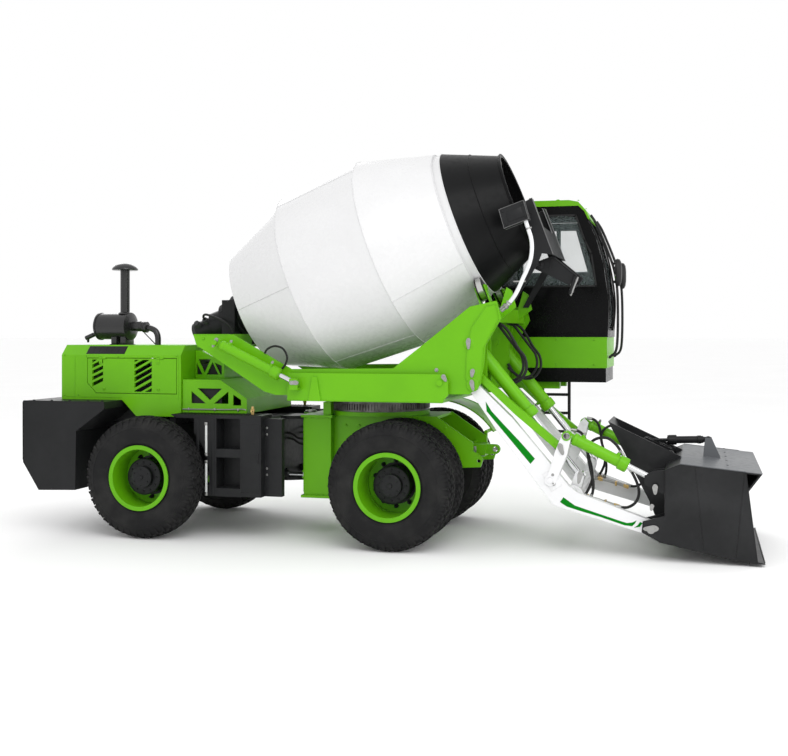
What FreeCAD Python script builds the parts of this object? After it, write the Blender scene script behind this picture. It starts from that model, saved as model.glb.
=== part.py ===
"""Self-loading concrete mixer: articulated carrier, slewing platform with cab, tilting drum and loader.

Lengths are in millimetres. X runs forward to the bucket, Y to the left where the cab hangs, and Z up from
the ground. Every place is counted from the front axle, the machine's centre plane and the ground, and each
piece is then moved so that the origin lies under the middle of the whole machine.
"""
import FreeCAD, Part
import os
import re
import Sketcher

doc = FreeCAD.newDocument("self_loading_mixer")
sheet = doc.addObject("Spreadsheet::Sheet", "sizes")
aliases = []
pieces = []
SIDES = {"right": "-1", "left": "1"}


def sizes(**values):
    """Add driving dimensions to the sheet, one row each."""
    for alias, value in values.items():
        row = len(aliases) + 1
        sheet.set(f"A{row}", alias)
        sheet.set(f"B{row}", str(value))
        sheet.setAlias(f"B{row}", alias)
        aliases.append(alias)
    sheet.recompute()


def bound(text):
    """An expression in plain dimension names, made to read the sheet."""
    return re.sub(r"[a-z][a-z0-9_]*", lambda m: f"sizes.{m[0]}" if m[0] in aliases else m[0], str(text))


def bind(thing, prop, text):
    thing.setExpression(prop, bound(text))


def number(text):
    return float(sheet.evalExpression(bound(text)))


def piece(label):
    """Start a sub-part; its features are added to one body."""
    body = doc.addObject("PartDesign::Body", label)
    body.Label = label
    body.AllowCompound = True
    pieces.append(body)
    bind(body, "Placement.Base.x", "front_axle_x")
    bind(body, "Placement.Base.y", "centre_plane_y")
    return body


def move(body, x, z, y="0", pitch=None):
    """Put a body that is drawn about its own origin in its place, turned about Y by the pitch."""
    bind(body, "Placement.Base.x", f"front_axle_x + ({x})")
    bind(body, "Placement.Base.y", f"centre_plane_y + ({y})")
    bind(body, "Placement.Base.z", z)
    if pitch is not None:
        body.Placement.Rotation = FreeCAD.Rotation(FreeCAD.Vector(0, 1, 0), 0)
        bind(body, "Placement.Rotation.Angle", pitch)


def feature(body, kind, name):
    return body.newObject(f"PartDesign::{kind}", f"{body.Name}_{name}")


def block(body, name, low, high, cut=False):
    """A rectangular block between two corners."""
    box = feature(body, "SubtractiveBox" if cut else "AdditiveBox", name)
    for prop, i in (("Length", 0), ("Width", 1), ("Height", 2)):
        bind(box, prop, f"({high[i]}) - ({low[i]})")
    for axis, at in zip("xyz", low):
        bind(box, f"Placement.Base.{axis}", at)
    return box


def beside(body, name, side, low, high, cut=False):
    """A block on one side, whose y values are counted outward from the centre plane."""
    near, far = (low[1], high[1]) if side == "1" else (f"-({high[1]})", f"-({low[1]})")
    return block(body, name, (low[0], near, low[2]), (high[0], far, high[2]), cut)


TURNS = {
    "x": FreeCAD.Rotation(FreeCAD.Vector(0, 1, 0), 90),
    "y": FreeCAD.Rotation(FreeCAD.Vector(1, 0, 0), -90),
    "z": FreeCAD.Rotation(),
}


def rod(body, name, start, axis, length, radius, cut=False):
    """A round bar that runs from a point along +X, +Y or +Z."""
    bar = feature(body, "SubtractiveCylinder" if cut else "AdditiveCylinder", name)
    bind(bar, "Radius", radius)
    bind(bar, "Height", length)
    bar.Placement = FreeCAD.Placement(FreeCAD.Vector(), TURNS[axis])
    for letter, at in zip("xyz", start):
        bind(bar, f"Placement.Base.{letter}", at)
    return bar


def pin(body, name, side, x, z, near, far, radius, cut=False):
    """A round bar along Y on one side, between two distances from the centre plane."""
    start = near if side == "1" else f"-({far})"
    return rod(body, name, (x, start, z), "y", f"({far}) - ({near})", radius, cut)


def outline(body, name, plane, points):
    """A closed outline of straight edges whose corners are bound to the sheet."""
    drawing = body.newObject("Sketcher::SketchObject", f"{body.Name}_{name}_outline")
    role = f"{plane}_Plane"
    support = next(part for part in body.Origin.OriginFeatures if part.Role == role)
    drawing.AttachmentSupport = [(support, "")]
    drawing.MapMode = "FlatFace"
    corners = [FreeCAD.Vector(number(first), number(second), 0) for first, second in points]
    for i, corner in enumerate(corners):
        drawing.addGeometry(Part.LineSegment(corner, corners[(i + 1) % len(corners)]))
    for i in range(len(corners)):
        drawing.addConstraint(Sketcher.Constraint("Coincident", i, 2, (i + 1) % len(corners), 1))
    for i, (point, corner) in enumerate(zip(points, corners)):
        for direction, text, at in (("DistanceX", point[0], corner.x), ("DistanceY", point[1], corner.y)):
            k = drawing.addConstraint(Sketcher.Constraint(direction, -1, 1, i, 1, at))
            bind(drawing, f"Constraints[{k}]", text)
    return drawing


def prism(body, name, plane, points, start, thick, cut=False):
    """An outline in a coordinate plane, given thickness along that plane's axis from a starting place."""
    drawing = outline(body, name, plane, points)
    # the XZ plane faces -Y, so its outline is drawn on the far face and grows back to the start
    offset = f"-(({start}) + ({thick}))" if plane == "XZ" else start
    bind(drawing, "AttachmentOffset.Base.z", offset)
    solid = feature(body, "Pocket" if cut else "Pad", name)
    solid.Profile = drawing
    solid.Reversed = cut
    bind(solid, "Length", thick)
    return solid


def plate(body, name, side, points, near, thick, cut=False):
    """An upright plate on one side: a side view outline between two distances from the centre plane."""
    start = near if side == "1" else f"-(({near}) + ({thick}))"
    return prism(body, name, "XZ", points, start, thick, cut)


def turned(body, name, plane, points, cut=False):
    """A profile turned about the body's own axis: X for a profile in XZ, Y for one in XY."""
    drawing = outline(body, name, plane, points)
    solid = feature(body, "Groove" if cut else "Revolution", name)
    solid.Profile = drawing
    solid.ReferenceAxis = (drawing, ["H_Axis" if plane == "XZ" else "V_Axis"])
    solid.Angle = 360
    return solid


def strut(body, name, y, start, end, radius, cut=False):
    """A round bar between two points of a side view, at one distance from the centre plane."""
    bar = feature(body, "SubtractiveCylinder" if cut else "AdditiveCylinder", name)
    across = f"(({end[0]}) - ({start[0]}))"
    up = f"(({end[1]}) - ({start[1]}))"
    bind(bar, "Radius", radius)
    bind(bar, "Height", f"sqrt({across} ^ 2 + {up} ^ 2)")
    bar.Placement = FreeCAD.Placement(FreeCAD.Vector(), TURNS["x"])
    for letter, at in zip("xyz", (start[0], y, start[1])):
        bind(bar, f"Placement.Base.{letter}", at)
    bind(bar, "Placement.Rotation.Angle", f"atan2({across}; {up})")
    return bar


def tube(body, name, y, points, radius):
    """A round bar bent through points of a side view, with a ball at each bend."""
    for i, (start, end) in enumerate(zip(points, points[1:])):
        strut(body, f"{name}_{i}", y, start, end, radius)
    for i, (x, z) in enumerate(points[1:-1]):
        bend = feature(body, "AdditiveSphere", f"{name}_bend_{i}")
        bind(bend, "Radius", radius)
        for letter, at in zip("xyz", (x, y, z)):
            bind(bend, f"Placement.Base.{letter}", at)


def inset(points, gap):
    """An outline drawn in on every side by a gap."""
    middle = [sum(number(point[i]) for point in points) / len(points) for i in (0, 1)]
    return [
        tuple(f"{at} {'+' if number(at) < middle[i] else '-'} {gap}" for i,
        at in enumerate(point)) for point in points
    ]


def leaf_hinge(frame, leaf, name, axis, at, first):
    """A door hinge: the leaf's knuckle turns on a pin that the frame's own knuckle holds beside it."""
    def from_(shift):
        return tuple(f"{first} + {shift}" if letter == axis else place for letter, place in zip("xyz",
            at))

    rod(frame, f"{name}_room", from_("-1"), axis, "knuckle_long + 2", "knuckle + 1.5", cut=True)
    rod(frame, f"{name}_knuckle", from_("knuckle_long + 1"), axis, "knuckle_long", "knuckle")
    rod(frame, f"{name}_pin", from_("0"), axis, "2 * knuckle_long + 1", "knuckle_pin")
    rod(leaf, f"{name}_room", from_("knuckle_long + 0.5"), axis, "knuckle_long + 2", "knuckle + 1.5",
        cut=True)
    rod(leaf, f"{name}_knuckle", from_("0"), axis, "knuckle_long", "knuckle")
    rod(leaf, f"{name}_bore", from_("-1"), axis, "knuckle_long + 2", "knuckle_pin + running_fit",
        cut=True)


# Places of the whole machine
sizes(
    front_axle_x=250, centre_plane_y=-311, wheelbase=2220, axle_z=525, running_fit=0.05, seat_gap=0.3,
    side_gap=5, knuckle=8, knuckle_long=35, knuckle_pin=3.5,
)

# Wheels: twin tyres on the front axle, single tyres on the rear one, all on deep-dished rims
sizes(
    tyre_radius=525, shoulder_radius=505, tread_half=95, shoulder_half=112, bulge_half=138,
    bulge_radius=400,
    bead_radius=258, rim_wall=14, rim_lip_radius=283, rim_half=105, lip_half=125, lip_thick=9,
    outer_tyre_y=800, dual_spacing=330, rear_tyre_y=768, disc_thick=14, front_disc_y=635, rear_disc_y=650,
    hub_radius=150, hub_length=150, cap_radius=95, cap_length=45, spindle_radius=60, spindle_length=130,
    hub_back=30,
)


def tyre(body, name, y):
    """One tyre with its flat tread, rounded sides and the beads that sit on the rim."""
    half = [
        ("bead_radius", "rim_half"), ("rim_lip_radius", "rim_half + seat_gap"), ("rim_lip_radius + 45",
        "bulge_half - 6"),
        ("bulge_radius", "bulge_half"), ("(bulge_radius + shoulder_radius) / 2 + 10", "bulge_half - 8"),
        ("shoulder_radius", "shoulder_half"), ("tyre_radius - 4", "tread_half + 6"), ("tyre_radius",
        "tread_half"),
    ]
    points = [(r, f"{y} - ({w})") for r, w in half] + [(r, f"{y} + {w}") for r, w in reversed(half)]
    turned(body, name, "XY", points)


def rim(body, name, y):
    """A rolled rim with a lip at each edge that stands clear of the tyre's sides."""
    seat = f"bead_radius - seat_gap"
    points = [
        (f"{seat} - rim_wall", f"{y} - lip_half"), ("rim_lip_radius - 3", f"{y} - lip_half"),
        ("rim_lip_radius - 3", f"{y} - lip_half + lip_thick"), (seat, f"{y} - lip_half + lip_thick"),
        (seat, f"{y} + lip_half - lip_thick"), ("rim_lip_radius - 3", f"{y} + lip_half - lip_thick"),
        ("rim_lip_radius - 3", f"{y} + lip_half"), (f"{seat} - rim_wall", f"{y} + lip_half"),
    ]
    turned(body, name, "XY", points)


def wheel_centre(body, side, disc_y, tyre_ys):
    """The dished disc, the planetary hub with its cap, and the bore that turns on the axle's spindle."""
    rod(body, "disc", ("0", f"{side} * {disc_y} - disc_thick / 2", "0"), "y", "disc_thick",
        "bead_radius - rim_wall")
    if len(tyre_ys) > 1:
        # a band between the twin rims holds them apart and carries the disc
        band = [(r, f"{side} * ({tyre_y} + {lip})") for r in ("bead_radius - rim_wall - 4", "bead_radius")
                for tyre_y, lip in (("outer_tyre_y", "4 - lip_half"), ("(outer_tyre_y - dual_spacing)",
                "lip_half - 4"))]
        turned(body, "band", "XY", [band[0], band[1], band[3], band[2]])
    hub_start = f"{disc_y} - hub_back"
    lengths = (("hub", hub_start, "hub_back + hub_length", "hub_radius"),
               ("cap", f"{disc_y} + hub_length", "cap_length", "cap_radius"))
    for name, near, length, radius in lengths:
        start = near if side == "1" else f"-({near} + {length})"
        rod(body, name, ("0", start, "0"), "y", length, radius)
    start = hub_start if side == "1" else f"-({hub_start} + spindle_length)"
    rod(body, "bore", ("0", start, "0"), "y", "spindle_length", "spindle_radius + running_fit", cut=True)


for side_name, side in SIDES.items():
    for axle, axle_x, disc_y, tyre_ys in (
        ("front", "0", "front_disc_y", ("outer_tyre_y", "(outer_tyre_y - dual_spacing)")),
        ("rear", "-wheelbase", "rear_disc_y", ("rear_tyre_y",)),
    ):
        tyres = piece(f"{axle}_{side_name}_tyre" + "s" * (len(tyre_ys) - 1))
        rims = piece(f"{axle}_{side_name}_wheel")
        for i, tyre_y in enumerate(tyre_ys):
            tyre(tyres, f"tyre_{i}", f"{side} * {tyre_y}")
            rim(rims, f"rim_{i}", f"{side} * {tyre_y}")
        wheel_centre(rims, side, disc_y, tyre_ys)
        move(tyres, axle_x, "axle_z")
        move(rims, axle_x, "axle_z")

# Axles: a cast housing with the differential bowl in the middle, spring pads and a spindle at each end
sizes(axle_radius=90, bowl_radius=185, bowl_half=110, pad_half=105, rail_low=620, rail_half=300,
    rail_thick=25)


def axle(label, axle_x, disc_y):
    body = piece(label)
    end = f"{disc_y} - hub_back - side_gap"
    rod(body, "housing", ("0", f"-({end})", "0"), "y", f"2 * ({end})", "axle_radius")
    rod(body, "bowl", ("0", "-bowl_half", "0"), "y", "2 * bowl_half", "bowl_radius")
    reach = f"{end} + side_gap + spindle_length - side_gap"
    rod(body, "spindle", ("0", f"-({reach})", "0"), "y", f"2 * ({reach})", "spindle_radius")
    for name, side in SIDES.items():
        beside(body, f"{name}_pad", side, ("-pad_half", "rail_half - 3 * rail_thick", "0"),
               ("pad_half", "rail_half", "rail_low - seat_gap - axle_z"))
    move(body, axle_x, "axle_z")


axle("front_axle", "0", "front_disc_y")
axle("rear_axle", "-wheelbase", "rear_disc_y")

# Front frame: two side plates that end in the tow nose, a flanged hinge column and the slewing base
sizes(
    pivot_x=-1000, column_back=-920, column_front=-670, column_half=380, column_low=355, column_top=1030,
    flange_thick=22, flange_lip=20, deck_z=1050, nose_top_x=249, nose_knee_x=570, nose_knee_z=835,
    nose_tip_x=655, nose_tip_z=690, nose_low_x=457, nose_hole_x=620, nose_hole_z=682, nose_hole_radius=16,
    slew_x=-340, slew_seat_radius=440, slew_seat_z=1085, yoke_half=65, yoke_root=180, yoke_thick=28,
    hinge_radius=40, hinge_low_z=440, hinge_top_z=990, tongue_thick=28, column_plate=30, post_size=70,
)
front_frame = piece("front_frame")
nose = [
    ("column_front", "rail_low"), ("nose_low_x", "rail_low"), ("nose_tip_x - 20", "rail_low + 10"),
    ("nose_tip_x", "nose_tip_z"), ("nose_tip_x - 20", "nose_tip_z + 40"), ("nose_knee_x",
    "nose_knee_z - 75"),
    ("nose_knee_x", "nose_knee_z"), ("nose_top_x", "deck_z"), ("column_front", "deck_z"),
]
for name, side in SIDES.items():
    plate(front_frame, f"{name}_rail", side, nose, "rail_half - rail_thick", "rail_thick")
    pin(front_frame, f"{name}_nose_hole", side, "nose_hole_x", "nose_hole_z", "rail_half - rail_thick",
        "rail_half",
        "nose_hole_radius", cut=True)
block(front_frame, "deck", ("column_front", "-rail_half", "deck_z - rail_thick"), ("nose_top_x",
    "rail_half", "deck_z"))
block(front_frame, "nose_plate", ("nose_low_x", "-rail_half", "rail_low + 20"),
      ("nose_low_x + rail_thick", "rail_half", "nose_knee_z - 40"))
rod(front_frame, "slew_seat", ("slew_x", "0", "deck_z"), "z", "slew_seat_z - deck_z", "slew_seat_radius")
for name, x in (("column_back_wall", "column_back"), ("column_front_wall",
    "column_front - column_plate")):
    block(front_frame, name, (x, "-column_half", "column_low"), (f"{x} + column_plate", "column_half",
        "column_top"))
for name, side in SIDES.items():
    beside(front_frame, f"{name}_column_side", side, ("column_back", "column_half - column_plate",
        "column_low"),
           ("column_front", "column_half", "column_top"))
for name, z in (("foot", "column_low - flange_thick"), ("head", "column_top")):
    block(front_frame, f"column_{name}", ("column_back - flange_lip", "-column_half - flange_lip", z),
          ("column_front + flange_lip", "column_half + flange_lip", f"{z} + flange_thick"))
for name, z, lift in (("low_yoke", "hinge_low_z", "-yoke_thick - seat_gap"),
                      ("top_yoke", "hinge_top_z", "tongue_thick + seat_gap")):
    plan = [("pivot_x", "-yoke_half"), ("column_back", "-yoke_root"), ("column_back", "yoke_root"),
        ("pivot_x", "yoke_half")]
    prism(front_frame, name, "XY", plan, f"{z} + {lift}", "yoke_thick")
    rod(front_frame, f"{name}_end", ("pivot_x", "0", f"{z} + {lift}"), "z", "yoke_thick", "yoke_half")
    rod(front_frame, f"{name}_pin", ("pivot_x", "0", f"{z} - yoke_thick - seat_gap"), "z",
        "tongue_thick + 2 * yoke_thick + 2 * seat_gap", "hinge_radius")
block(front_frame, "hose_post", ("column_front - post_size", "-column_half", "column_top"),
      ("column_front", "-column_half + post_size", "slew_seat_z + 80"))

# Tow eye: a silver buffer block and a plate with a round eye in front of the nose
sizes(buffer_low=700, buffer_top=800, buffer_half=90, eye_x=705, eye_z=753, eye_radius=22, eye_outer=42,
    eye_thick=36)
tow_eye = piece("tow_eye")
block(tow_eye, "buffer", ("nose_low_x + rail_thick", "-buffer_half", "buffer_low"), ("eye_x - 75",
    "buffer_half", "buffer_top"))
block(tow_eye, "tongue", ("eye_x - 75", "-eye_thick / 2", "eye_z - eye_outer"),
    ("eye_x", "eye_thick / 2", "eye_z + eye_outer"))
rod(tow_eye, "eye", ("eye_x", "-eye_thick / 2", "eye_z"), "y", "eye_thick", "eye_outer")
rod(tow_eye, "eye_bore", ("eye_x", "-eye_thick / 2", "eye_z"), "y", "eye_thick", "eye_radius", cut=True)

# Slewing ring: a toothed bearing ring bolted on the seat
sizes(ring_radius=430, ring_bore=330, ring_top=1199)
slew_ring = piece("slew_ring")
rod(slew_ring, "ring", ("slew_x", "0", "slew_seat_z"), "z", "ring_top - slew_seat_z", "ring_radius")
rod(slew_ring, "ring_bore", ("slew_x", "0", "slew_seat_z"), "z", "ring_top - slew_seat_z", "ring_bore",
    cut=True)

# Left front mudguard: a curved sheet over the twin tyres, below the cab's ladder
sizes(
    guard_x=60, guard_z=495, guard_radius=645, guard_thick=8, guard_near=445, guard_far=930,
    guard_start=34,
    guard_sweep=69, guard_tube=16,
)
tube_x = "guard_x + (guard_radius - guard_tube - seat_gap) * cos(guard_start + 3)"
tube_z = "guard_z + (guard_radius - guard_tube - seat_gap) * sin(guard_start + 3)"
rod(front_frame, "guard_tube", (tube_x, "rail_half - rail_thick", tube_z), "y",
    "guard_far - 30 - rail_half + rail_thick",
    "guard_tube")
block(front_frame, "guard_stay", (f"{tube_x} - guard_tube", "rail_half - 5", "nose_knee_z - 60"),
      (f"{tube_x} + guard_tube / 2", "rail_half + 25", tube_z))
mudguard = piece("left_mudguard")
sheet_bend = rod(mudguard, "bend", ("0", "guard_near", "0"), "y", "guard_far - guard_near",
    "guard_radius + guard_thick")
bind(sheet_bend, "Angle", "guard_sweep")
rod(mudguard, "bend_inside", ("0", "guard_near", "0"), "y", "guard_far - guard_near", "guard_radius",
    cut=True)
move(mudguard, "guard_x", "guard_z", "0", "-(guard_start + guard_sweep)")

# Rear box: its outline comes first, because the rails end on its back wall
sizes(
    tail_behind=1190, back_wall_behind=1030, arm_half=800, arm_near=300, arm_top=1162, arm_behind=383,
    arm_step=1101,
    arm_knee_behind=658, arm_knee=904, arm_low_behind=668, arm_low=387, tail_knee_behind=1027,
    tail_knee_z=375, tail_low=626,
)

# Rear frame: two rails, the box behind the articulation with its tongues, and the engine's cross-member
sizes(
    rear_rail_half=275, rear_rail_low=620, rear_rail_top=950, box_back=-1800, box_front=-1170,
    box_half=500,
    box_low=550, box_top=1000, web_half=150, web_thick=60, tongue_half=65, hood_front=-2020,
    hood_low=1022,
    engine_back=-2850, engine_front=-2350, engine_low=800, engine_top=1450,
)
rear_frame = piece("rear_frame")
for name, side in SIDES.items():
    beside(rear_frame, f"{name}_rail", side, ("-wheelbase - back_wall_behind + seat_gap",
        "rear_rail_half - rail_thick", "rear_rail_low"),
           ("box_back", "rear_rail_half", "rear_rail_top"))
block(rear_frame, "box", ("box_back", "-box_half", "box_low"), ("box_front", "box_half", "box_top"))
block(rear_frame, "web", ("box_front - web_thick", "-web_half", "hinge_low_z"), ("box_front", "web_half",
    "box_top"))
for name, z in (("low_tongue", "hinge_low_z"), ("top_tongue", "hinge_top_z")):
    plan = [
        ("box_front - web_thick", "-web_half"), ("box_front", "-web_half"), ("pivot_x", "-tongue_half"),
        ("pivot_x", "tongue_half"), ("box_front", "web_half"), ("box_front - web_thick", "web_half"),
    ]
    prism(rear_frame, name, "XY", plan, z, "tongue_thick")
    rod(rear_frame, f"{name}_end", ("pivot_x", "0", z), "z", "tongue_thick", "tongue_half")
    rod(rear_frame, f"{name}_hole", ("pivot_x", "0", z), "z", "tongue_thick",
        "hinge_radius + running_fit", cut=True)
block(rear_frame, "hood_bearer", ("hood_front - 120", "-box_half", "rear_rail_top"),
      ("hood_front - 60", "box_half", "hood_low - seat_gap"))
for name, side in SIDES.items():
    beside(rear_frame, f"{name}_axle_bearer", side, ("-wheelbase - pad_half", "bowl_half + 10",
        "rear_rail_low"),
           ("-wheelbase + pad_half", "rear_rail_half", "rear_rail_low + 60"))

# Rear box: ballast and tank box round the tail, with side arms over the rear wheels
rear_box = piece("rear_box")
tail = [
    ("-wheelbase - tail_behind", "arm_top"), ("-wheelbase - tail_behind", "tail_low"),
    ("-wheelbase - tail_knee_behind", "tail_knee_z"), ("-wheelbase - arm_low_behind", "arm_low"),
    ("-wheelbase - arm_knee_behind", "arm_knee"), ("-wheelbase - arm_behind", "arm_step"),
    ("-wheelbase - arm_behind", "arm_top"),
]
prism(rear_box, "shell", "XZ", tail, "-arm_half", "2 * arm_half")
block(rear_box, "engine_bay", ("-wheelbase - back_wall_behind", "-arm_near", "tail_knee_z - 20"),
    ("-wheelbase - arm_behind + 20", "arm_near", "arm_top + 20"), cut=True)

# Engine hood: folded sheet over the engine with a side door on each side
sizes(
    hood_back=-3210, hood_half=520, hood_top=1655, hood_shoulder=1565, hood_crown=440, hood_sheet=30,
    hood_knee_x=-2598, hood_foot_x=-2460, door_back=-2950, door_front=-2060, door_low=1220, door_top=1540,
    door_cut=90, door_gap=5, louvre_pitch=55,
)
hood = piece("engine_hood")
hood_side = [
    ("hood_back", "arm_top + seat_gap"), ("hood_knee_x", "arm_top + seat_gap"), ("hood_foot_x",
    "hood_low"),
    ("hood_front", "hood_low"), ("hood_front", "hood_top"), ("hood_back", "hood_top"),
]
inside = [
    ("hood_back + hood_sheet", "hood_low - 20"), ("hood_front - hood_sheet", "hood_low - 20"),
    ("hood_front - hood_sheet", "hood_top - hood_sheet"), ("hood_back + hood_sheet",
    "hood_top - hood_sheet"),
]
prism(hood, "shell", "XZ", hood_side, "-hood_half", "2 * hood_half")
prism(hood, "inside", "XZ", inside, "-(hood_half - hood_sheet)", "2 * (hood_half - hood_sheet)", cut=True)
for name, side in SIDES.items():
    # a strip inside the shoulder keeps the sheet whole where its edge is folded over
    fold = [(f"{side} * (hood_half - 2 * hood_sheet)", "hood_shoulder - 20"), (f"{side} * hood_half",
        "hood_shoulder - 20"),
            (f"{side} * hood_half", "hood_shoulder"), (f"{side} * hood_crown", "hood_top"),
            (f"{side} * (hood_crown - 2 * hood_sheet)", "hood_top")]
    prism(hood, f"{name}_fold", "YZ", fold, "hood_back", "hood_front - hood_back")
    edge = [(f"{side} * (hood_half + 1)", "hood_shoulder"), (f"{side} * (hood_half + 1)", "hood_top + 1"),
            (f"{side} * hood_crown", "hood_top + 1"), (f"{side} * hood_crown", "hood_top"),
            (f"{side} * hood_half", "hood_shoulder")]
    prism(hood, f"{name}_edge", "YZ", edge, "hood_back - 1", "hood_front - hood_back + 2", cut=True)


def door_shape(gap):
    return [
        (f"door_back + {gap}", f"door_low + door_cut + {gap} / 2"), (f"door_back + door_cut + {gap} / 2",
        f"door_low + {gap}"),
        (f"door_front - {gap}", f"door_low + {gap}"), (f"door_front - {gap}", f"door_top - {gap}"),
        (f"door_back + {gap}", f"door_top - {gap}"),
    ]


corner_louvres = {
    "rear_top": [("door_back + 50", 273), ("door_back + 100", 303), ("door_back + 50", 303)],
    "front_top": [("-2477", 280), ("-2432", 303), ("-2477", 303)],
    "front_high": [("-2477", 222), ("-2325", 303), ("-2398", 303), ("-2477", 260)],
    "front_low": [("-2414", 18), ("-2305", 75), ("-2305", 116), ("-2477", 26), ("-2477", 18)],
    "front_foot": [("-2374", 18), ("-2317", 18), ("-2305", 24), ("-2305", 54)],
}
for name, side in SIDES.items():
    plate(hood, f"{name}_doorway", side, door_shape("0"), "hood_half - hood_sheet", "hood_sheet",
        cut=True)
    door = piece(f"hood_{name}_door")
    plate(door, "panel", side, door_shape("door_gap"), "hood_half - hood_sheet + seat_gap",
        "hood_sheet - 2 * seat_gap")
    for group, first_x, last_x, rise, high, above, count in (
            ("rear", "door_back + 50", "door_back + 160", 50, 32, 60, 4),
            ("front", "-2477", "-2305", 90, 40, 51, 3)):
        for i in range(count):
            low = f"door_low + {above} + {i} * louvre_pitch"
            slot = [(first_x, low), (last_x, f"{low} + {rise}"), (last_x, f"{low} + {rise + high}"),
                (first_x, f"{low} + {high}")]
            plate(door, f"{group}_louvre_{i}", side, slot, "hood_half - hood_sheet", "hood_sheet",
                cut=True)
    for cut, corners in corner_louvres.items():
        slot = [(x, f"door_low + {z}") for x, z in corners]
        plate(door, f"{cut}_louvre", side, slot, "hood_half - hood_sheet", "hood_sheet", cut=True)
    for end, x in (("back", "door_back + 120"), ("front", "door_front - 200")):
        at = (x, f"{side} * (hood_half + 0.5)", "door_top - door_gap / 2")
        leaf_hinge(hood, door, f"{name}_{end}_hinge", "x", at, x)

# Engine: one plain mass between the rails
engine = piece("engine")
block(engine, "block", ("engine_back", "-(rear_rail_half - rail_thick - seat_gap)", "engine_low"),
      ("engine_front", "rear_rail_half - rail_thick - seat_gap", "engine_top"))

# Guards in front of the hood: sheet boxes with their sides cut out as trusses
sizes(
    guard_sheet=12, upper_half=260, upper_low=1352, upper_front=-1730, upper_back_top=1608,
    upper_mid_x=-1957,
    upper_mid_top=1602, upper_front_top=1497, lower_half=500, lower_foot=1060, lower_top=1352,
    lower_mid_x=-1652,
    lower_front=-1401, lower_front_top=1190,
)
guard = piece("truss_guards")
back = "hood_front + door_gap"
shapes = {
    "lower": ([(back, "lower_foot + seat_gap"), ("lower_front", "lower_foot + seat_gap"), ("lower_front",
    "lower_front_top"),
               ("lower_mid_x", "lower_top"), (back, "lower_top")], "lower_half"),
    "upper": ([(back, "upper_low"), ("upper_front", "upper_low"), ("upper_front", "upper_front_top"),
               ("upper_mid_x", "upper_mid_top"), (back, "upper_back_top")], "upper_half"),
}
hollows = {
    "lower": [(f"{back} + guard_sheet", "lower_foot"), ("lower_front - guard_sheet", "lower_foot"),
              ("lower_front - guard_sheet", "lower_front_top - 1.2 * guard_sheet"),
              ("lower_mid_x - guard_sheet / 2", "lower_top - guard_sheet"), (f"{back} + guard_sheet",
              "lower_top - guard_sheet")],
    "upper": [(f"{back} + guard_sheet", "upper_low + guard_sheet"), ("upper_front - guard_sheet",
    "upper_low + guard_sheet"),
              ("upper_front - guard_sheet", "upper_front_top - 1.2 * guard_sheet"),
              ("upper_mid_x", "upper_mid_top - 1.2 * guard_sheet"), (f"{back} + guard_sheet",
              "upper_back_top - guard_sheet")],
}
for level, (shape, half) in shapes.items():
    prism(guard, level, "XZ", shape, f"-{half}", f"2 * {half}")
    prism(guard, f"{level}_hollow", "XZ", hollows[level], f"-({half} - guard_sheet)",
        f"2 * ({half} - guard_sheet)", cut=True)
windows = {
    "lower_back": [("-1929", "1250"), ("-1929", "1143"), ("-1790", "1143")],
    "lower_middle": [("-1868", "1275"), ("-1752", "1172"), ("-1636", "1275")],
    "lower_right": [("-1575", "1250"), ("-1712", "1143"), ("-1575", "1143")],
    "lower_slot": [("-1530", "1225"), ("-1530", "1130"), ("-1455", "1130"), ("-1455", "1178")],
    "upper_back": [("-2005", "1495"), ("-2005", "1388"), ("-1945", "1388")],
    "upper_middle": [("-1985", "1525"), ("-1925", "1405"), ("-1865", "1525")],
    "upper_front": [("-1902", "1388"), ("-1790", "1388"), ("-1846", "1500")],
    "upper_slot": [("-1826", "1494"), ("-1772", "1390"), ("-1756", "1390"), ("-1756", "1468")],
}
for name, corners in windows.items():
    half = "lower_half" if name.startswith("lower") else "upper_half"
    prism(guard, f"{name}_window", "XZ", corners, f"-{half}", f"2 * {half}", cut=True)

# Side tanks with their steps and the plates that close in on the articulation
sizes(
    tank_half=700, deck_near=470, deck_thick=30, rear_deck_z=1030, tank_low=367, gauge_back=-1800,
    gauge_front=-1590,
    arch_radius=565, locker_back=-1371, locker_front=-1179, step_low=400, step_high=735, step_thick=72,
    step_near=545, flank_near=560, flank_half=620, flank_front=-1024,
)
tanks = piece("side_tanks")
for name, side in SIDES.items():
    inner = "box_half + seat_gap"
    beside(tanks, f"{name}_deck", side, (f"{back}", "deck_near", "rear_deck_z"),
           ("locker_front", "tank_half", "rear_deck_z + deck_thick"))
    beside(tanks, f"{name}_tank", side, ("gauge_back", inner, "tank_low"), ("gauge_front", "tank_half",
        "rear_deck_z"))
    beside(tanks, f"{name}_back_plate", side, ("gauge_front", inner, "tank_low"), ("locker_back",
        "step_near", "rear_deck_z"))
    beside(tanks, f"{name}_locker", side, ("locker_back", inner, "tank_low"), ("locker_front",
        "tank_half", "rear_deck_z"))
    for step, z in (("low", "step_low"), ("high", "step_high")):
        beside(tanks, f"{name}_{step}_step", side, ("gauge_front", "step_near", f"{z} - step_thick / 2"),
               ("locker_back", "tank_half", f"{z} + step_thick / 2"))
    beside(tanks, f"{name}_flank", side, ("locker_front", "flank_near", "tank_low"), ("flank_front",
        "flank_half", "rear_deck_z"))
    start = "box_half" if side == "1" else "-(tank_half + 10)"
    rod(tanks, f"{name}_arch", ("-wheelbase", start, "axle_z"), "y", "tank_half + 10 - box_half",
        "arch_radius", cut=True)

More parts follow.
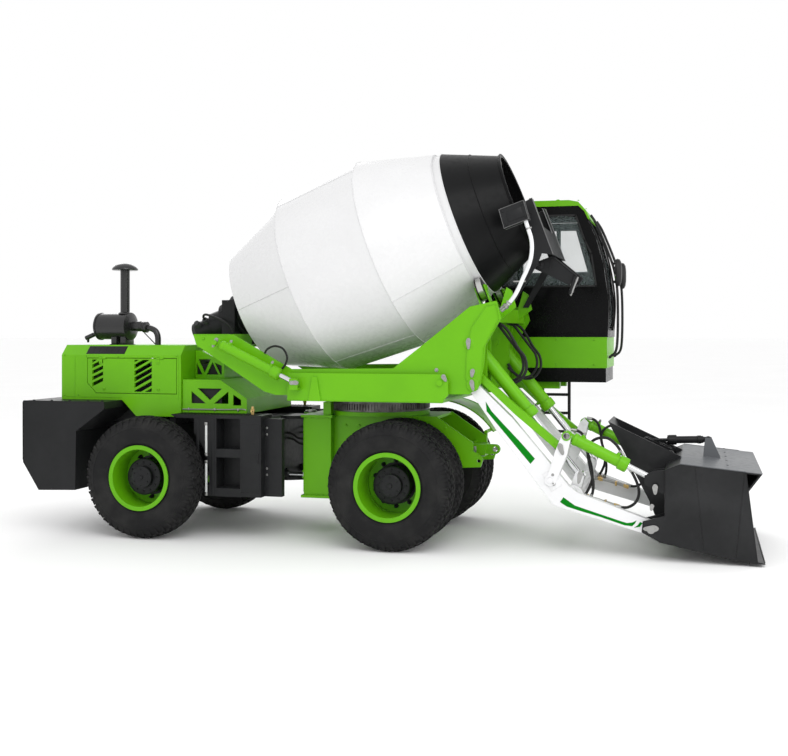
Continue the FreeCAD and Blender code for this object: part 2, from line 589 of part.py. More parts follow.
# Air cleaner on the hood with its intake pipe, rain cap, drain spout and the hose down to the engine
sizes(
    cleaner_y=-300, cleaner_back=-2975, cleaner_front=-2620, cleaner_z=1824, cleaner_radius=122,
    neck_radius=42, coupling_x=-2515, coupling_radius=50, elbow_x=-2368, elbow_radius=27, intake_x=-2702,
    intake_radius=41, cap_low=2338, rain_cap_radius=116, cap_high=69, drain_radius=21,
)
cleaner = piece("air_cleaner")
rod(cleaner, "canister", ("cleaner_back", "cleaner_y", "cleaner_z"), "x", "cleaner_front - cleaner_back",
    "cleaner_radius")
rod(cleaner, "neck", ("cleaner_front", "cleaner_y", "cleaner_z"), "x", "coupling_x - cleaner_front",
    "neck_radius")
rod(cleaner, "coupling", ("coupling_x", "cleaner_y", "cleaner_z - 5"), "x", "45", "coupling_radius")
elbow = [
    ("coupling_x + 38", "cleaner_z - 14"), ("elbow_x - 50", "cleaner_z - 24"), ("elbow_x", "cleaner_z - 78"),
    ("elbow_x", "hood_top + seat_gap"),
]
tube(cleaner, "elbow", "cleaner_y", elbow, "elbow_radius")
rod(cleaner, "intake", ("intake_x", "cleaner_y", "cleaner_z"), "z", "cap_low - cleaner_z",
    "intake_radius")
rod(cleaner, "rain_cap", ("intake_x", "cleaner_y", "cap_low"), "z", "cap_high", "rain_cap_radius")
strut(cleaner, "drain", "cleaner_y - 40", ("cleaner_back - 105", "cleaner_z - 110"),
    ("cleaner_back + 30", "cleaner_z - 58"), "drain_radius")
for name, x in (("back", "cleaner_back + 165"), ("front", "cleaner_front - 95")):
    block(cleaner, f"{name}_foot", (x, "cleaner_y - 80", "hood_top + seat_gap"), (f"{x} + 70",
        "cleaner_y + 80", "cleaner_z - 60"))

# Steering cylinders under the rear box, one each side of the articulation
sizes(
    steer_y=200, steer_z=510, steer_back=-1500, steer_front=-975, steer_barrel=34, steer_rod=17,
    steer_reach=370,
    steer_eye=32, steer_eye_half=20, steer_pin=14, lug_thick=10,
)
for name, side in SIDES.items():
    y = f"{side} * steer_y"
    for frame, x in ((rear_frame, "steer_back"), (front_frame, "steer_front")):
        for level, z in (("low", "steer_z - steer_eye_half - lug_thick - 1"),
            ("high", "steer_z + steer_eye_half + 1")):
            if frame is front_frame:
                block(frame, f"{name}_steer_{level}_lug", (x, f"{y} - steer_eye", z), ("column_back",
                    f"{y} + steer_eye", f"{z} + lug_thick"))
            rod(frame, f"{name}_steer_{level}_boss", (x, y, z), "z", "lug_thick", "steer_eye")
    rod(rear_frame, f"{name}_steer_pin", ("steer_back", y, "steer_z - steer_eye_half - lug_thick - 1"),
        "z",
        "2 * steer_eye_half + 2 * lug_thick + 2", "steer_pin")
    beside(rear_frame, f"{name}_steer_hanger", side, ("steer_back - steer_eye", "steer_y - steer_eye",
        "steer_z + steer_eye_half + 1"),
           ("steer_back + steer_eye", "steer_y + steer_eye", "box_low"))
    beside(rear_frame, f"{name}_steer_drop", side, ("steer_back - steer_eye - 12", "steer_y - steer_eye",
        "steer_z - steer_eye_half - lug_thick - 1"),
           ("steer_back - steer_eye", "steer_y + steer_eye", "box_low"))
    beside(rear_frame, f"{name}_steer_shelf", side, ("steer_back - steer_eye", "steer_y - steer_eye",
        "steer_z - steer_eye_half - lug_thick - 1"),
           ("steer_back", "steer_y + steer_eye", "steer_z - steer_eye_half - 1"))
    barrel = piece(f"{name}_steering_barrel")
    rod(barrel, "tube", ("steer_eye + 6", "0", "0"), "x", "steer_reach - steer_eye - 6", "steer_barrel")
    rod(barrel, "neck", ("0", "0", "0"), "x", "steer_eye + 8", "steer_eye_half - 1")
    rod(barrel, "eye", ("0", "0", "-steer_eye_half"), "z", "2 * steer_eye_half", "steer_eye - 4")
    rod(barrel, "bore", ("steer_eye + 20", "0", "0"), "x", "steer_reach", "steer_rod + running_fit",
        cut=True)
    rod(barrel, "eye_bore", ("0", "0", "-steer_barrel"), "z", "2 * steer_barrel",
        "steer_pin + running_fit", cut=True)
    move(barrel, "steer_back", "steer_z", y)
    shaft = piece(f"{name}_steering_rod")
    rod(shaft, "rod", ("-(steer_reach - 60)", "0", "0"), "x", "steer_reach - 60", "steer_rod")
    rod(shaft, "eye", ("0", "0", "-steer_eye_half"), "z", "2 * steer_eye_half", "steer_eye - 4")
    move(shaft, "steer_front", "steer_z", y)

# Turntable: base plate, two side beams that carry the tilting frame, and the bracket that holds the cab
sizes(
    base_low=1200, base_thick=26, beam_near=755, beam_thick=20, beam_back=-910, beam_front=469,
    beam_top=1430,
    base_front=430, tilt_x=401, tilt_z=1359, tilt_pin=25, tilt_lower_x=-822, tilt_lower_z=1350,
    tilt_y=822,
    tilt_eye=36, tilt_eye_half=22, beam_corner=60, gusset_back=-720, gusset_front=-610, cab_near=780,
    cab_far=1560, cab_back=450,
    bracket_back=340, bracket_top=1900, cab_low=1306, cab_arm_front=1150, cab_arm_half=45,
)
turntable = piece("turntable")
block(turntable, "base", ("beam_back", "-(beam_near + beam_thick)", "base_low"),
      ("base_front", "beam_near + beam_thick", "base_low + base_thick"))
rod(turntable, "opening", ("slew_x", "0", "base_low"), "z", "base_thick", "ring_bore - 60", cut=True)
beam = [
    ("beam_back", "base_low"), ("beam_front - beam_corner", "base_low"), ("beam_front",
    "base_low + beam_corner"),
    ("beam_front", "beam_top - beam_corner"), ("beam_front - beam_corner / 3",
    "beam_top - beam_corner / 3"),
    ("beam_front - beam_corner", "beam_top"), ("beam_back", "beam_top"),
]
for name, side in SIDES.items():
    plate(turntable, f"{name}_beam", side, beam, "beam_near", "beam_thick")
    pin(turntable, f"{name}_tilt_pin", side, "tilt_x", "tilt_z", "690", "beam_near + beam_thick + 15",
        "tilt_pin")
    beside(turntable, f"{name}_shelf", side, ("tilt_lower_x - tilt_eye", "beam_near",
        "tilt_lower_z - tilt_eye - 22"),
           ("tilt_lower_x + tilt_eye", "tilt_y + tilt_eye_half + side_gap + 10",
           "tilt_lower_z - tilt_eye - 8"))
    beside(turntable, f"{name}_lug", side, ("tilt_lower_x - tilt_eye",
        "tilt_y + tilt_eye_half + side_gap", "tilt_lower_z - tilt_eye - 8"),
           ("tilt_lower_x + tilt_eye", "tilt_y + tilt_eye_half + side_gap + 10",
           "tilt_lower_z + tilt_eye"))
    beside(turntable, f"{name}_foot", side, ("beam_back", "beam_near - 70", "base_low + base_thick"),
           ("base_front", "beam_near", "base_low + base_thick + 14"))
    gusset = [("gusset_back", "base_low"), ("gusset_front", "base_low"), ("gusset_front - 35",
        "beam_top - 30"),
              ("gusset_back + 35", "beam_top - 30")]
    plate(turntable, f"{name}_gusset", side, gusset, "beam_near + beam_thick", "14")
block(turntable, "cab_post", ("bracket_back", "beam_near", "base_low + 40"),
      ("cab_back - seat_gap", "cab_far - 60", "bracket_top"))
block(turntable, "cab_post_inside", ("bracket_back - 1", "beam_near + 20", "base_low + 60"),
      ("cab_back - seat_gap - 14", "cab_far - 80", "bracket_top - 20"), cut=True)
for name, y in (("inner", "cab_near + 120"), ("outer", "cab_far - 180")):
    block(turntable, f"{name}_cab_arm", ("bracket_back", f"{y} - cab_arm_half", "cab_low - 66"),
          ("cab_arm_front", f"{y} + cab_arm_half", "cab_low - seat_gap"))

# Cab: floor, green skirt, framed shell with a curved front, roof and glass
sizes(
    cab_wall=40, floor_top=1438, floor_back=500, floor_front=1590, skirt_top=1725, skirt_front=1600,
    sill_front=1607,
    belly_front=1616, belly_z=2047, brow_front=1563, brow_z=2401, crown_front=1493, crown_z=2650,
    top_front=1388,
    top_z=2890, ceiling_front=1335, ceiling_z=2945, roof_top=3001, roof_front=1249, roof_lip_x=1425,
    roof_lip_z=2820,
    window_low=2200, window_high=2860, pane=6, pane_in=15, front_low=1800, front_high=2835,
    front_margin=70,
)
cab_floor = piece("cab_floor")
block(cab_floor, "plate", ("floor_back", "cab_near", "cab_low"), ("floor_front", "cab_far", "floor_top"))
cab_skirt = piece("cab_skirt")
block(cab_skirt, "walls", ("cab_back", "cab_near", "floor_top + seat_gap"), ("skirt_front", "cab_far",
    "skirt_top"))
block(cab_skirt, "room", ("cab_back + cab_wall", "cab_near + cab_wall", "floor_top"),
      ("skirt_front - cab_wall", "cab_far - cab_wall", "skirt_top"), cut=True)

cab_shell = piece("cab_frame")
front_line = [("sill_front", "skirt_top + seat_gap"), ("belly_front", "belly_z"), ("brow_front",
    "brow_z"),
              ("crown_front", "crown_z"), ("top_front", "top_z")]
shell = front_line + [("ceiling_front", "ceiling_z"), ("cab_back", "ceiling_z"), ("cab_back",
    "skirt_top + seat_gap")]
room = [(f"{x} - cab_wall", z) for x, z in front_line[:-1]]
room += [("top_front - cab_wall", "top_z - cab_wall / 2"), ("ceiling_front - cab_wall",
    "ceiling_z - cab_wall"),
         ("cab_back + cab_wall", "ceiling_z - cab_wall"), ("cab_back + cab_wall", "skirt_top + seat_gap")]
prism(cab_shell, "shell", "XZ", shell, "cab_near", "cab_far - cab_near")
prism(cab_shell, "room", "XZ", room, "cab_near + cab_wall", "cab_far - cab_near - 2 * cab_wall", cut=True)
side_window = [("560", "window_low"), ("1500", "window_low"), ("1455", "brow_z"), ("1395", "2620"),
    ("1310", "window_high"),
               ("560", "window_high")]
plate(cab_shell, "right_window", "1", side_window, "cab_near", "cab_wall", cut=True)
block(cab_shell, "rear_window", ("cab_back", "cab_near + front_margin + 30", "window_low"),
      ("cab_back + cab_wall", "cab_far - front_margin - 30", "window_high"), cut=True)
curve = [("sill_front + 1", "front_low"), ("belly_front", "belly_z"), ("brow_front", "brow_z"),
    ("crown_front", "crown_z"),
         ("1412", "front_high")]


def front_band(outer, inner, trim):
    """The curved front's outline between two depths behind its outer face."""
    ends = [curve[0][0], curve[-1][0]]
    out = [(f"{x} - ({outer})", z) for x, z in curve]
    back = [(f"{x} - ({inner})", z) for x, z in reversed(curve)]
    out[0] = (out[0][0], f"front_low + {trim}")
    back[-1] = (back[-1][0], f"front_low + {trim}")
    out[-1] = (out[-1][0], f"front_high - {trim}")
    back[0] = (back[0][0], f"front_high - {trim}")
    return out + back


prism(cab_shell, "windscreen", "XZ", front_band("-10", "cab_wall + 10", "0"), "cab_near + front_margin",
      "cab_far - cab_near - 2 * front_margin", cut=True)
doorway = [("600", "1500"), ("1500", "1500"), ("1505", "2100"), ("1440", "2400"), ("1378", "2640"),
    ("1310", "2870"), ("600", "2870")]
for body in (cab_shell, cab_skirt):
    plate(body, "doorway", "1", doorway, "cab_far - cab_wall", "cab_wall", cut=True)

cab_roof = piece("cab_roof")
roof = [
    ("cab_back - 10", "ceiling_z + seat_gap"), ("ceiling_front", "ceiling_z + seat_gap"), ("top_front",
    "top_z + 5"),
    ("roof_lip_x", "roof_lip_z"), ("roof_lip_x + 16", "roof_lip_z + 6"), ("top_front + 18", "top_z + 12"),
    ("ceiling_front", "ceiling_z + 38"), ("roof_front", "roof_top"), ("cab_back - 10", "roof_top"),
]
prism(cab_roof, "panel", "XZ", roof, "cab_near - 8", "cab_far - cab_near + 8")

cab_glass = piece("cab_glass")
plate(cab_glass, "right_pane", "1", inset(side_window, "seat_gap"), "cab_near + pane_in", "pane")
block(cab_glass, "rear_pane", ("cab_back + pane_in", "cab_near + front_margin + 30 + seat_gap",
    "window_low + seat_gap"),
      ("cab_back + pane_in + pane", "cab_far - front_margin - 30 - seat_gap", "window_high - seat_gap"))
prism(cab_glass, "windscreen", "XZ", front_band("pane_in", "pane_in + pane", "seat_gap"),
      "cab_near + front_margin + seat_gap", "cab_far - cab_near - 2 * front_margin - 2 * seat_gap")

cab_door = piece("cab_door")
plate(cab_door, "panel", "1", inset(doorway, "door_gap"), "cab_far - cab_wall + seat_gap",
    "cab_wall - seat_gap")
for end, z in (("low", "1850"), ("middle", "2180"), ("high", "2720")):
    leaf_hinge(cab_shell, cab_door, f"{end}_hinge", "z", ("600 + door_gap - 0.5", "cab_far + 0.5", z), z)
door_panes = {
    "rear": [("680", "2366"), ("1034", "2366"), ("1034", "2800"), ("680", "2800")],
    "front": [("1061", "2366"), ("1348", "2371"), ("1228", "2800"), ("1061", "2800")],
}
for name, corners in door_panes.items():
    plate(cab_door, f"{name}_window", "1", corners, "cab_far - cab_wall", "cab_wall", cut=True)
door_glass = piece("cab_door_glass")
for name, corners in door_panes.items():
    plate(door_glass, f"{name}_pane", "1", inset(corners, "seat_gap"), "cab_far - cab_wall + pane_in",
        "pane")

# Driver's place: seat, console and steering wheel share one piece
sizes(seat_back=640, seat_front=1090, seat_near=960, seat_far=1400, seat_low=1760, seat_high=1860,
    seat_top=2480)
station = piece("driver_station")
block(station, "pedestal", ("seat_back + 90", "seat_near + 80", "floor_top + seat_gap"),
      ("seat_front - 90", "seat_far - 80", "seat_low"))
block(station, "cushion", ("seat_back", "seat_near", "seat_low"), ("seat_front", "seat_far", "seat_high"))
block(station, "backrest", ("seat_back - 80", "seat_near + 20", "seat_low + 40"), ("seat_back + 40",
    "seat_far - 20", "seat_top"))
block(station, "box", ("skirt_front - cab_wall - 180", "seat_near + 60", "floor_top + seat_gap"),
      ("skirt_front - cab_wall - 10", "seat_far - 60", "2000"))
strut(station, "column", "(seat_near + seat_far) / 2", ("1420", "1950"), ("1300", "2090"), "28")
ring = feature(station, "AdditiveTorus", "wheel")
bind(ring, "Radius1", "180")
bind(ring, "Radius2", "16")
for letter, at in zip("xyz", ("1290", "(seat_near + seat_far) / 2", "2095")):
    bind(ring, f"Placement.Base.{letter}", at)
block(station, "spoke", ("1290 - 180", "(seat_near + seat_far) / 2 - 18", "2085"),
      ("1290 + 180", "(seat_near + seat_far) / 2 + 18", "2101"))

# Cab rails: boarding ladder under the door and the tubes that carry the mirrors
sizes(
    ladder_back=890, ladder_front=1157, ladder_y=1535, ladder_tube=16, ladder_low=750, rung_pitch=185,
    mirror_tube=13,
    mirror_y=885, mirror_reach=1668, mirror_high=2455, mirror_low=2195, mirror_half=65, mirror_thick=60,
)
rails = piece("cab_rails")
for name, x in (("back", "ladder_back"), ("front", "ladder_front")):
    rod(rails, f"{name}_rail", (x, "ladder_y", "ladder_low"), "z", "cab_low - seat_gap - ladder_low",
        "ladder_tube")
for i in range(3):
    rod(rails, f"rung_{i}", ("ladder_back", "ladder_y", f"ladder_low + 25 + {i} * rung_pitch"), "x",
        "ladder_front - ladder_back", "ladder_tube - 2")
mirror_route = [
    ("crown_front - 60", "crown_z + 160"), ("1500", "2765"), ("mirror_reach - 60", "2500"),
    ("mirror_reach", "2300"),
    ("1690", "2050"), ("1682", "1640"), ("1625", "1545"), ("skirt_front + 3.3", "1540"),
]
for name, y in (("right", "mirror_y"), ("left", "cab_far + cab_near - mirror_y")):
    tube(rails, f"{name}_tube", y, mirror_route, "mirror_tube")
    block(rails, f"{name}_housing", ("mirror_reach", f"{y} - mirror_half", "mirror_low"),
          ("mirror_reach + mirror_thick", f"{y} + mirror_half", "mirror_high"))

# Tilting frame: two side plates that carry the drum and the loader, pinned at the front of the turntable
sizes(
    drum_x=-189, drum_z=2477, drum_tilt=20.23, frame_near=700, frame_thick=20, mount_back=-1798,
    mount_front=-1472,
    mount_low=1659, mount_top=1753, mount_near=240, sling_low=1640, brace_x=-950, brace_z=1300,
    brace_radius=50,
    cheek_back=500, cheek_front=750, cheek_low=1270, cheek_top=1860, cheek_gap=10, lift_y=500,
    lift_barrel=55,
    cheek_thick=20, head_back=650, head_front=840, head_low=1850, head_top=1970, boom_x=660, boom_z=1343,
    link_x=660, link_z=1440, lift_x=628, lift_z=1676, boom_pin=32, link_pin=20, lift_pin=26,
    tilt_upper_x=-1530,
    tilt_upper_z=1682, tilt_upper_pin=22, roller_s=678, roller_y=400, roller_radius=94.7, roller_half=28,
    ring_radius_s=645, roller_pin=20, roller_cheek=12, roller_gap=8, stay_near=400,
)


def along(s, r="0"):
    """A side view point at a distance along the drum's tilted axis and a distance above it."""
    return (f"drum_x + ({s}) * cos(drum_tilt) - ({r}) * sin(drum_tilt)",
            f"drum_z + ({s}) * sin(drum_tilt) + ({r}) * cos(drum_tilt)")


roller_drop = "sqrt((ring_radius_s + roller_radius + seat_gap) ^ 2 - roller_y ^ 2)"
drum_frame = piece("drum_frame")
frame_side = [
    ("mount_back", "mount_top"), ("mount_back + 31", "mount_low"), ("-1142", "1269"), ("-1034", "1240"),
    ("464", "1266"),
    ("629", "1268"), ("724", "1349"), ("751", "1502"), ("765", "1661"), ("893", "1880"), ("853", "2019"),
    ("636", "1974"),
    ("222", "1648"), ("-7", "1472"), ("-899", "1460"), ("-1420", "1745"), ("mount_front", "mount_top"),
]
for name, side in SIDES.items():
    plate(drum_frame, f"{name}_side", side, frame_side, "frame_near", "frame_thick")
    beside(drum_frame, f"{name}_mount", side, ("mount_back + 31", "mount_near", "sling_low"),
           ("mount_front", "frame_near", "mount_top"))
    for level, y in (("outer", "lift_y + lift_barrel + cheek_gap"),
        ("inner", "lift_y - lift_barrel - cheek_gap - cheek_thick")):
        beside(drum_frame, f"{name}_{level}_cheek", side, ("cheek_back", y, "cheek_low"),
               ("cheek_front", f"{y} + cheek_thick", "cheek_top"))
block(drum_frame, "sling", ("mount_back + 31", "-mount_near", "sling_low"), ("mount_front", "mount_near",
    "mount_low"))
rod(drum_frame, "brace", ("brace_x", "-frame_near", "brace_z"), "y", "2 * frame_near", "brace_radius")
block(drum_frame, "middle_beam", ("0", "-frame_near", "1270"), ("100", "frame_near", "1420"))
block(drum_frame, "head_beam", ("head_back", "-frame_near", "head_low"), ("head_front", "frame_near",
    "head_top"))
block(drum_frame, "foot_beam", ("cheek_back", "-frame_near", "cheek_low"), ("cheek_back + 40",
    "frame_near", "cheek_low + 120"))
stay_root = [("790", "1900"), ("head_front", "1880"), ("960", "1975"), ("925", "2110"), ("880", "2140"),
    ("835", "1990")]
for name, side in SIDES.items():
    pin(drum_frame, f"{name}_tilt_hole", side, "tilt_x", "tilt_z", "frame_near",
        "frame_near + frame_thick",
        "tilt_pin + running_fit", cut=True)
    pin(drum_frame, f"{name}_boom_pin", side, "boom_x", "boom_z",
        "lift_y + lift_barrel + cheek_gap - 12", "frame_near + frame_thick + 8", "boom_pin")
    pin(drum_frame, f"{name}_link_pin", side, "link_x", "link_z",
        "lift_y + lift_barrel + cheek_gap - 12", "frame_near + frame_thick + 8", "link_pin")
    pin(drum_frame, f"{name}_lift_pin", side, "lift_x", "lift_z",
        "lift_y - lift_barrel - cheek_gap - cheek_thick - 8",
        "lift_y + lift_barrel + cheek_gap + cheek_thick + 8", "lift_pin")
    pin(drum_frame, f"{name}_tilt_cylinder_pin", side, "tilt_upper_x", "tilt_upper_z", "frame_near",
        "tilt_y + 52", "tilt_upper_pin")
    plate(drum_frame, f"{name}_stay_root", side, stay_root, "stay_near + seat_gap", "24")
    y = f"{side} * roller_y"
    for end, shift in (("back", "-(roller_half + roller_gap + roller_cheek)"),
        ("front", "roller_half + roller_gap")):
        corners = [along(f"roller_s + {shift} + {thick}", f"-({roller_drop}) + {high}")
                   for thick, high in (("0", "-185"), ("roller_cheek", "-185"), ("roller_cheek", "25"),
                   ("0", "25"))]
        prism(drum_frame, f"{name}_{end}_roller_cheek", "XZ", corners, f"{y} - 45", "90")
    strut(drum_frame, f"{name}_roller_pin", y,
        along("roller_s - roller_half - roller_gap - roller_cheek - 6", f"-{roller_drop}"),
          along("roller_s + roller_half + roller_gap + roller_cheek + 6", f"-{roller_drop}"),
          "roller_pin")
    roller = piece(f"{name}_drum_roller")
    rod(roller, "rim", ("-roller_half", "0", "0"), "x", "2 * roller_half", "roller_radius")
    rod(roller, "bore", ("-roller_half", "0", "0"), "x", "2 * roller_half", "roller_pin + running_fit",
        cut=True)
    x, z = along("roller_s", f"-{roller_drop}")
    move(roller, x, z, y, "-drum_tilt")

# Drum: welded shell with its running ring, and the black mouth cone bolted to it
sizes(
    shell_thick=12, disc_s=-1368, disc_radius=568, first_seam_s=-759, first_seam_radius=825,
    second_seam_radius=858,
    ring_start=640, ring_end=709, mouth_s=1180, mouth_radius=434, lip_width=20, lip_high=16,
    boss_radius=150,
    boss_length=27,
)
drum = piece("drum_shell")
profile = [
    ("disc_s - boss_length", "0"), ("disc_s - boss_length", "boss_radius"), ("disc_s", "boss_radius"),
    ("disc_s", "disc_radius"), ("first_seam_s", "first_seam_radius"), ("0", "second_seam_radius"),
    ("ring_start", "664"), ("ring_start", "ring_radius_s"), ("ring_end", "ring_radius_s"),
    ("ring_end", "ring_radius_s - 1.4 * shell_thick"), ("ring_start - 20",
    "ring_radius_s - 1.4 * shell_thick"),
    ("0", "second_seam_radius - shell_thick"), ("first_seam_s", "first_seam_radius - shell_thick"),
    ("disc_s + shell_thick", "disc_radius - shell_thick"), ("disc_s + shell_thick", "0"),
]
turned(drum, "wall", "XZ", profile)
move(drum, "drum_x", "drum_z", "0", "-drum_tilt")
mouth = piece("drum_mouth")
cone = [
    ("ring_end + seat_gap", "ring_radius_s - 2"), ("mouth_s - lip_width", "mouth_radius + 9"),
    ("mouth_s - lip_width", "mouth_radius + lip_high"), ("mouth_s", "mouth_radius + lip_high"),
    ("mouth_s", "mouth_radius - shell_thick"), ("ring_end + seat_gap", "ring_radius_s - 2 - shell_thick"),
]
turned(mouth, "cone", "XZ", cone)
move(mouth, "drum_x", "drum_z", "0", "-drum_tilt")

# Drum drive: reduction gear and hydraulic motor on a bracket on the rear mount
sizes(
    gear_start=-1396, gear_flange_end=-1585, gear_flange_radius=188, gear_body_end=-1740,
    gear_body_radius=160,
    gear_tail_end=-1870, gear_tail_radius=122, motor_end=-2060, motor_radius=92, drive_plate_back=-1765,
    drive_plate_front=-1640, drive_plate_top=2060,
)
drive = piece("drum_drive")
runs = (("flange", "gear_start", "gear_flange_end", "gear_flange_radius"), ("body", "gear_flange_end",
    "gear_body_end", "gear_body_radius"),
        ("tail", "gear_body_end", "gear_tail_end", "gear_tail_radius"), ("motor", "gear_tail_end",
        "motor_end", "motor_radius"))
for name, start, end, radius in runs:
    strut(drive, name, "0", along(start), along(end), radius)
block(drive, "bracket", ("drive_plate_back", "-(mount_near - seat_gap)", "mount_low + seat_gap"),
      ("drive_plate_front", "mount_near - seat_gap", "drive_plate_top"))

# Hopper at the drum's mouth, held by stays, with the folding discharge chute under it
sizes(
    hopper_half=400, hopper_sheet=14, slot_half=300, slot_low=2640, chute_half=250, chute_sheet=10,
    chute_x=1100,
    chute_z=2330, chute_pin=12,
)
hopper = piece("hopper")
hopper_side = [("975", "2815"), ("1085", "2875"), ("1262", "2405"), ("1118", "2425")]
prism(hopper, "front", "XZ", [("1071", "2868"), ("1085", "2875"), ("1262", "2405"), ("1247", "2407")],
    "-hopper_half", "2 * hopper_half")
block(hopper, "slot", ("1000", "-slot_half", "slot_low"), ("1300", "slot_half", "2900"), cut=True)
stay = [("1118", "2440"), ("1180", "2440"), ("1135", "2330"), ("930", "1990"), ("880", "1990")]
for name, side in SIDES.items():
    plate(hopper, f"{name}_wall", side, hopper_side, "hopper_half - hopper_sheet", "hopper_sheet")
    plate(hopper, f"{name}_stay", side, stay, "hopper_half - hopper_sheet", "hopper_sheet")
    pin(hopper, f"{name}_chute_pin", side, "chute_x + 30", "chute_z", "chute_half + 1",
        "hopper_half - 2", "chute_pin")
water_box = [("850", "2760"), ("1050", "2830"), ("1092", "2680"), ("893", "2607")]
plate(hopper, "water_box", "-1", water_box, "515", "85")
block(hopper, "water_arm", ("1045", "-520", "2700"), ("1075", "-hopper_half + 2", "2740"))
chute = piece("discharge_chute")
chute_side = [("1075", "2305"), ("1085", "2345"), ("1240", "2400"), ("1437", "2235"), ("1381", "2160")]
prism(chute, "trough", "XZ", chute_side, "-chute_half", "2 * chute_half")
prism(chute, "hollow", "XZ", [("1065", "2318"), ("1065", "2420"), ("1450", "2420"), ("1450", "2215"),
    ("1384", "2174")],
      "-(chute_half - chute_sheet)", "2 * (chute_half - chute_sheet)", cut=True)
for name, side in SIDES.items():
    pin(chute, f"{name}_boss", side, "chute_x + 30", "chute_z", "chute_half - chute_sheet", "chute_half",
        "chute_pin + 14")
strut(chute, "latch", "-(chute_half + 8)", ("1425", "2235"), ("1385", "2085"), "14")

# White water hose from the tilting frame up to the water box
sizes(hose_y=560, hose_radius=17)
hose = piece("water_hose")
route = [("893", "1975"), ("930", "2005"), ("976", "2067"), ("1010", "2132"), ("1041", "2206"),
    ("1070", "2262"),
         ("1097", "2330"), ("1112", "2400"), ("1115", "2470"), ("1106", "2540"), ("1083", "2605"),
         ("1062.5", "2667.8")]
tube(hose, "run", "-hose_y", route, "hose_radius")


def cylinder(label, ys, start, end, barrel_radius, barrel_length, rod_radius, rod_length, eye_radius,
    eye_half, pin_radius):
    """A hydraulic cylinder for each y: barrels pinned at the start, rods whose eyes hold the end pins."""
    pitch = f"-atan2(({end[1]}) - ({start[1]}); ({end[0]}) - ({start[0]}))"
    barrels = piece(f"{label}_barrels" if len(ys) > 1 else f"{label}_barrel")
    rods = piece(f"{label}_rods" if len(ys) > 1 else f"{label}_rod")
    for i, y in enumerate(ys):
        rod(barrels, f"tube_{i}", (f"{eye_radius} * 1.5", y, "0"), "x",
            f"{barrel_length} - {eye_radius} * 1.5", barrel_radius)
        rod(barrels, f"gland_{i}", (f"{barrel_length} - 70", y, "0"), "x", "70", f"{barrel_radius} + 9")
        rod(barrels, f"neck_{i}", ("0", y, "0"), "x", f"{eye_radius} * 1.6", f"{eye_half} - 1")
        rod(barrels, f"eye_{i}", ("0", f"{y} - {eye_half}", "0"), "y", f"2 * {eye_half}", eye_radius)
        rod(barrels, f"bore_{i}", (f"{eye_radius} * 1.7", y, "0"), "x", barrel_length,
            f"{rod_radius} + running_fit", cut=True)
        rod(barrels, f"eye_bore_{i}", ("0", f"{y} - {eye_half}", "0"), "y", f"2 * {eye_half}",
            f"{pin_radius} + running_fit", cut=True)
        rod(rods, f"shaft_{i}", (f"-({rod_length})", y, "0"), "x", rod_length, rod_radius)
        rod(rods, f"eye_{i}", ("0", f"{y} - {eye_half}", "0"), "y", f"2 * {eye_half}", eye_radius)
        rod(rods, f"pin_{i}", ("0", f"{y} - {eye_half} - 3", "0"), "y", f"2 * {eye_half} + 6", pin_radius)
    move(barrels, start[0], start[1], "0", pitch)
    move(rods, end[0], end[1], "0", pitch)


# Tilting cylinders outside the frame's tail
sizes(tilt_barrel=40, tilt_reach=630, tilt_rod=20, tilt_shaft=690)
cylinder("tilt", ("-tilt_y", "tilt_y"), ("tilt_upper_x", "tilt_upper_z"), ("tilt_lower_x",
    "tilt_lower_z"),
         "tilt_barrel", "tilt_reach", "tilt_rod", "tilt_shaft", "tilt_eye", "tilt_eye_half",
         "tilt_upper_pin")

# Loader arms: two bent box arms joined by a cross tube
sizes(
    arm_y=640, arm_wide=80, bucket_x=2067, bucket_z=247, arm_eye=45, bucket_eye=52, bucket_pin=30,
    tie_x=1450,
    tie_z=470, tie_radius=65, lug_x=1495, lug_z=615, lift_lug_gap=53, lift_lug_thick=12, rocker_x=1280,
    rocker_z=594, rocker_pin=24, rocker_link_x=1367, rocker_link_z=842, rocker_top_x=1410,
    rocker_top_z=949,
    rocker_thick=12, rocker_gap=3,
)
arms = piece("loader_arms")
arm_side = [
    ("617", "1309"), ("843", "987"), ("1300", "405"), ("1345", "385"), ("2050", "195"), ("2075", "300"),
    ("1500", "500"),
    ("1420", "560"), ("967", "1087"), ("690", "1352"),
]
for name, side in SIDES.items():
    near = "arm_y - arm_wide / 2"
    plate(arms, f"{name}_arm", side, arm_side, near, "arm_wide")
    pin(arms, f"{name}_root", side, "boom_x", "boom_z", near, "arm_y + arm_wide / 2", "arm_eye")
    pin(arms, f"{name}_tip", side, "bucket_x", "bucket_z", near, "arm_y + arm_wide / 2", "bucket_eye")
    pin(arms, f"{name}_root_bore", side, "boom_x", "boom_z", near, "arm_y + arm_wide / 2",
        "boom_pin + running_fit", cut=True)
    pin(arms, f"{name}_tip_bore", side, "bucket_x", "bucket_z", near, "arm_y + arm_wide / 2",
        "bucket_pin + running_fit", cut=True)
    pin(arms, f"{name}_rocker_pin", side, "rocker_x", "rocker_z", f"{near} - rocker_thick - 8",
        "arm_y + arm_wide / 2 + rocker_thick + 8", "rocker_pin")
    lug = [("tie_x - 45", "tie_z"), ("tie_x + 45", "tie_z"), ("lug_x + 42", "lug_z"),
        ("lug_x", "lug_z + 42"), ("lug_x - 42", "lug_z")]
    for level, y in (("inner", "lift_y - lift_lug_gap - lift_lug_thick"),
        ("outer", "lift_y + lift_lug_gap")):
        plate(arms, f"{name}_{level}_lug", side, lug, y, "lift_lug_thick")
rod(arms, "tie", ("tie_x", "-(arm_y - arm_wide / 2)", "tie_z"), "y", "2 * arm_y - arm_wide", "tie_radius")

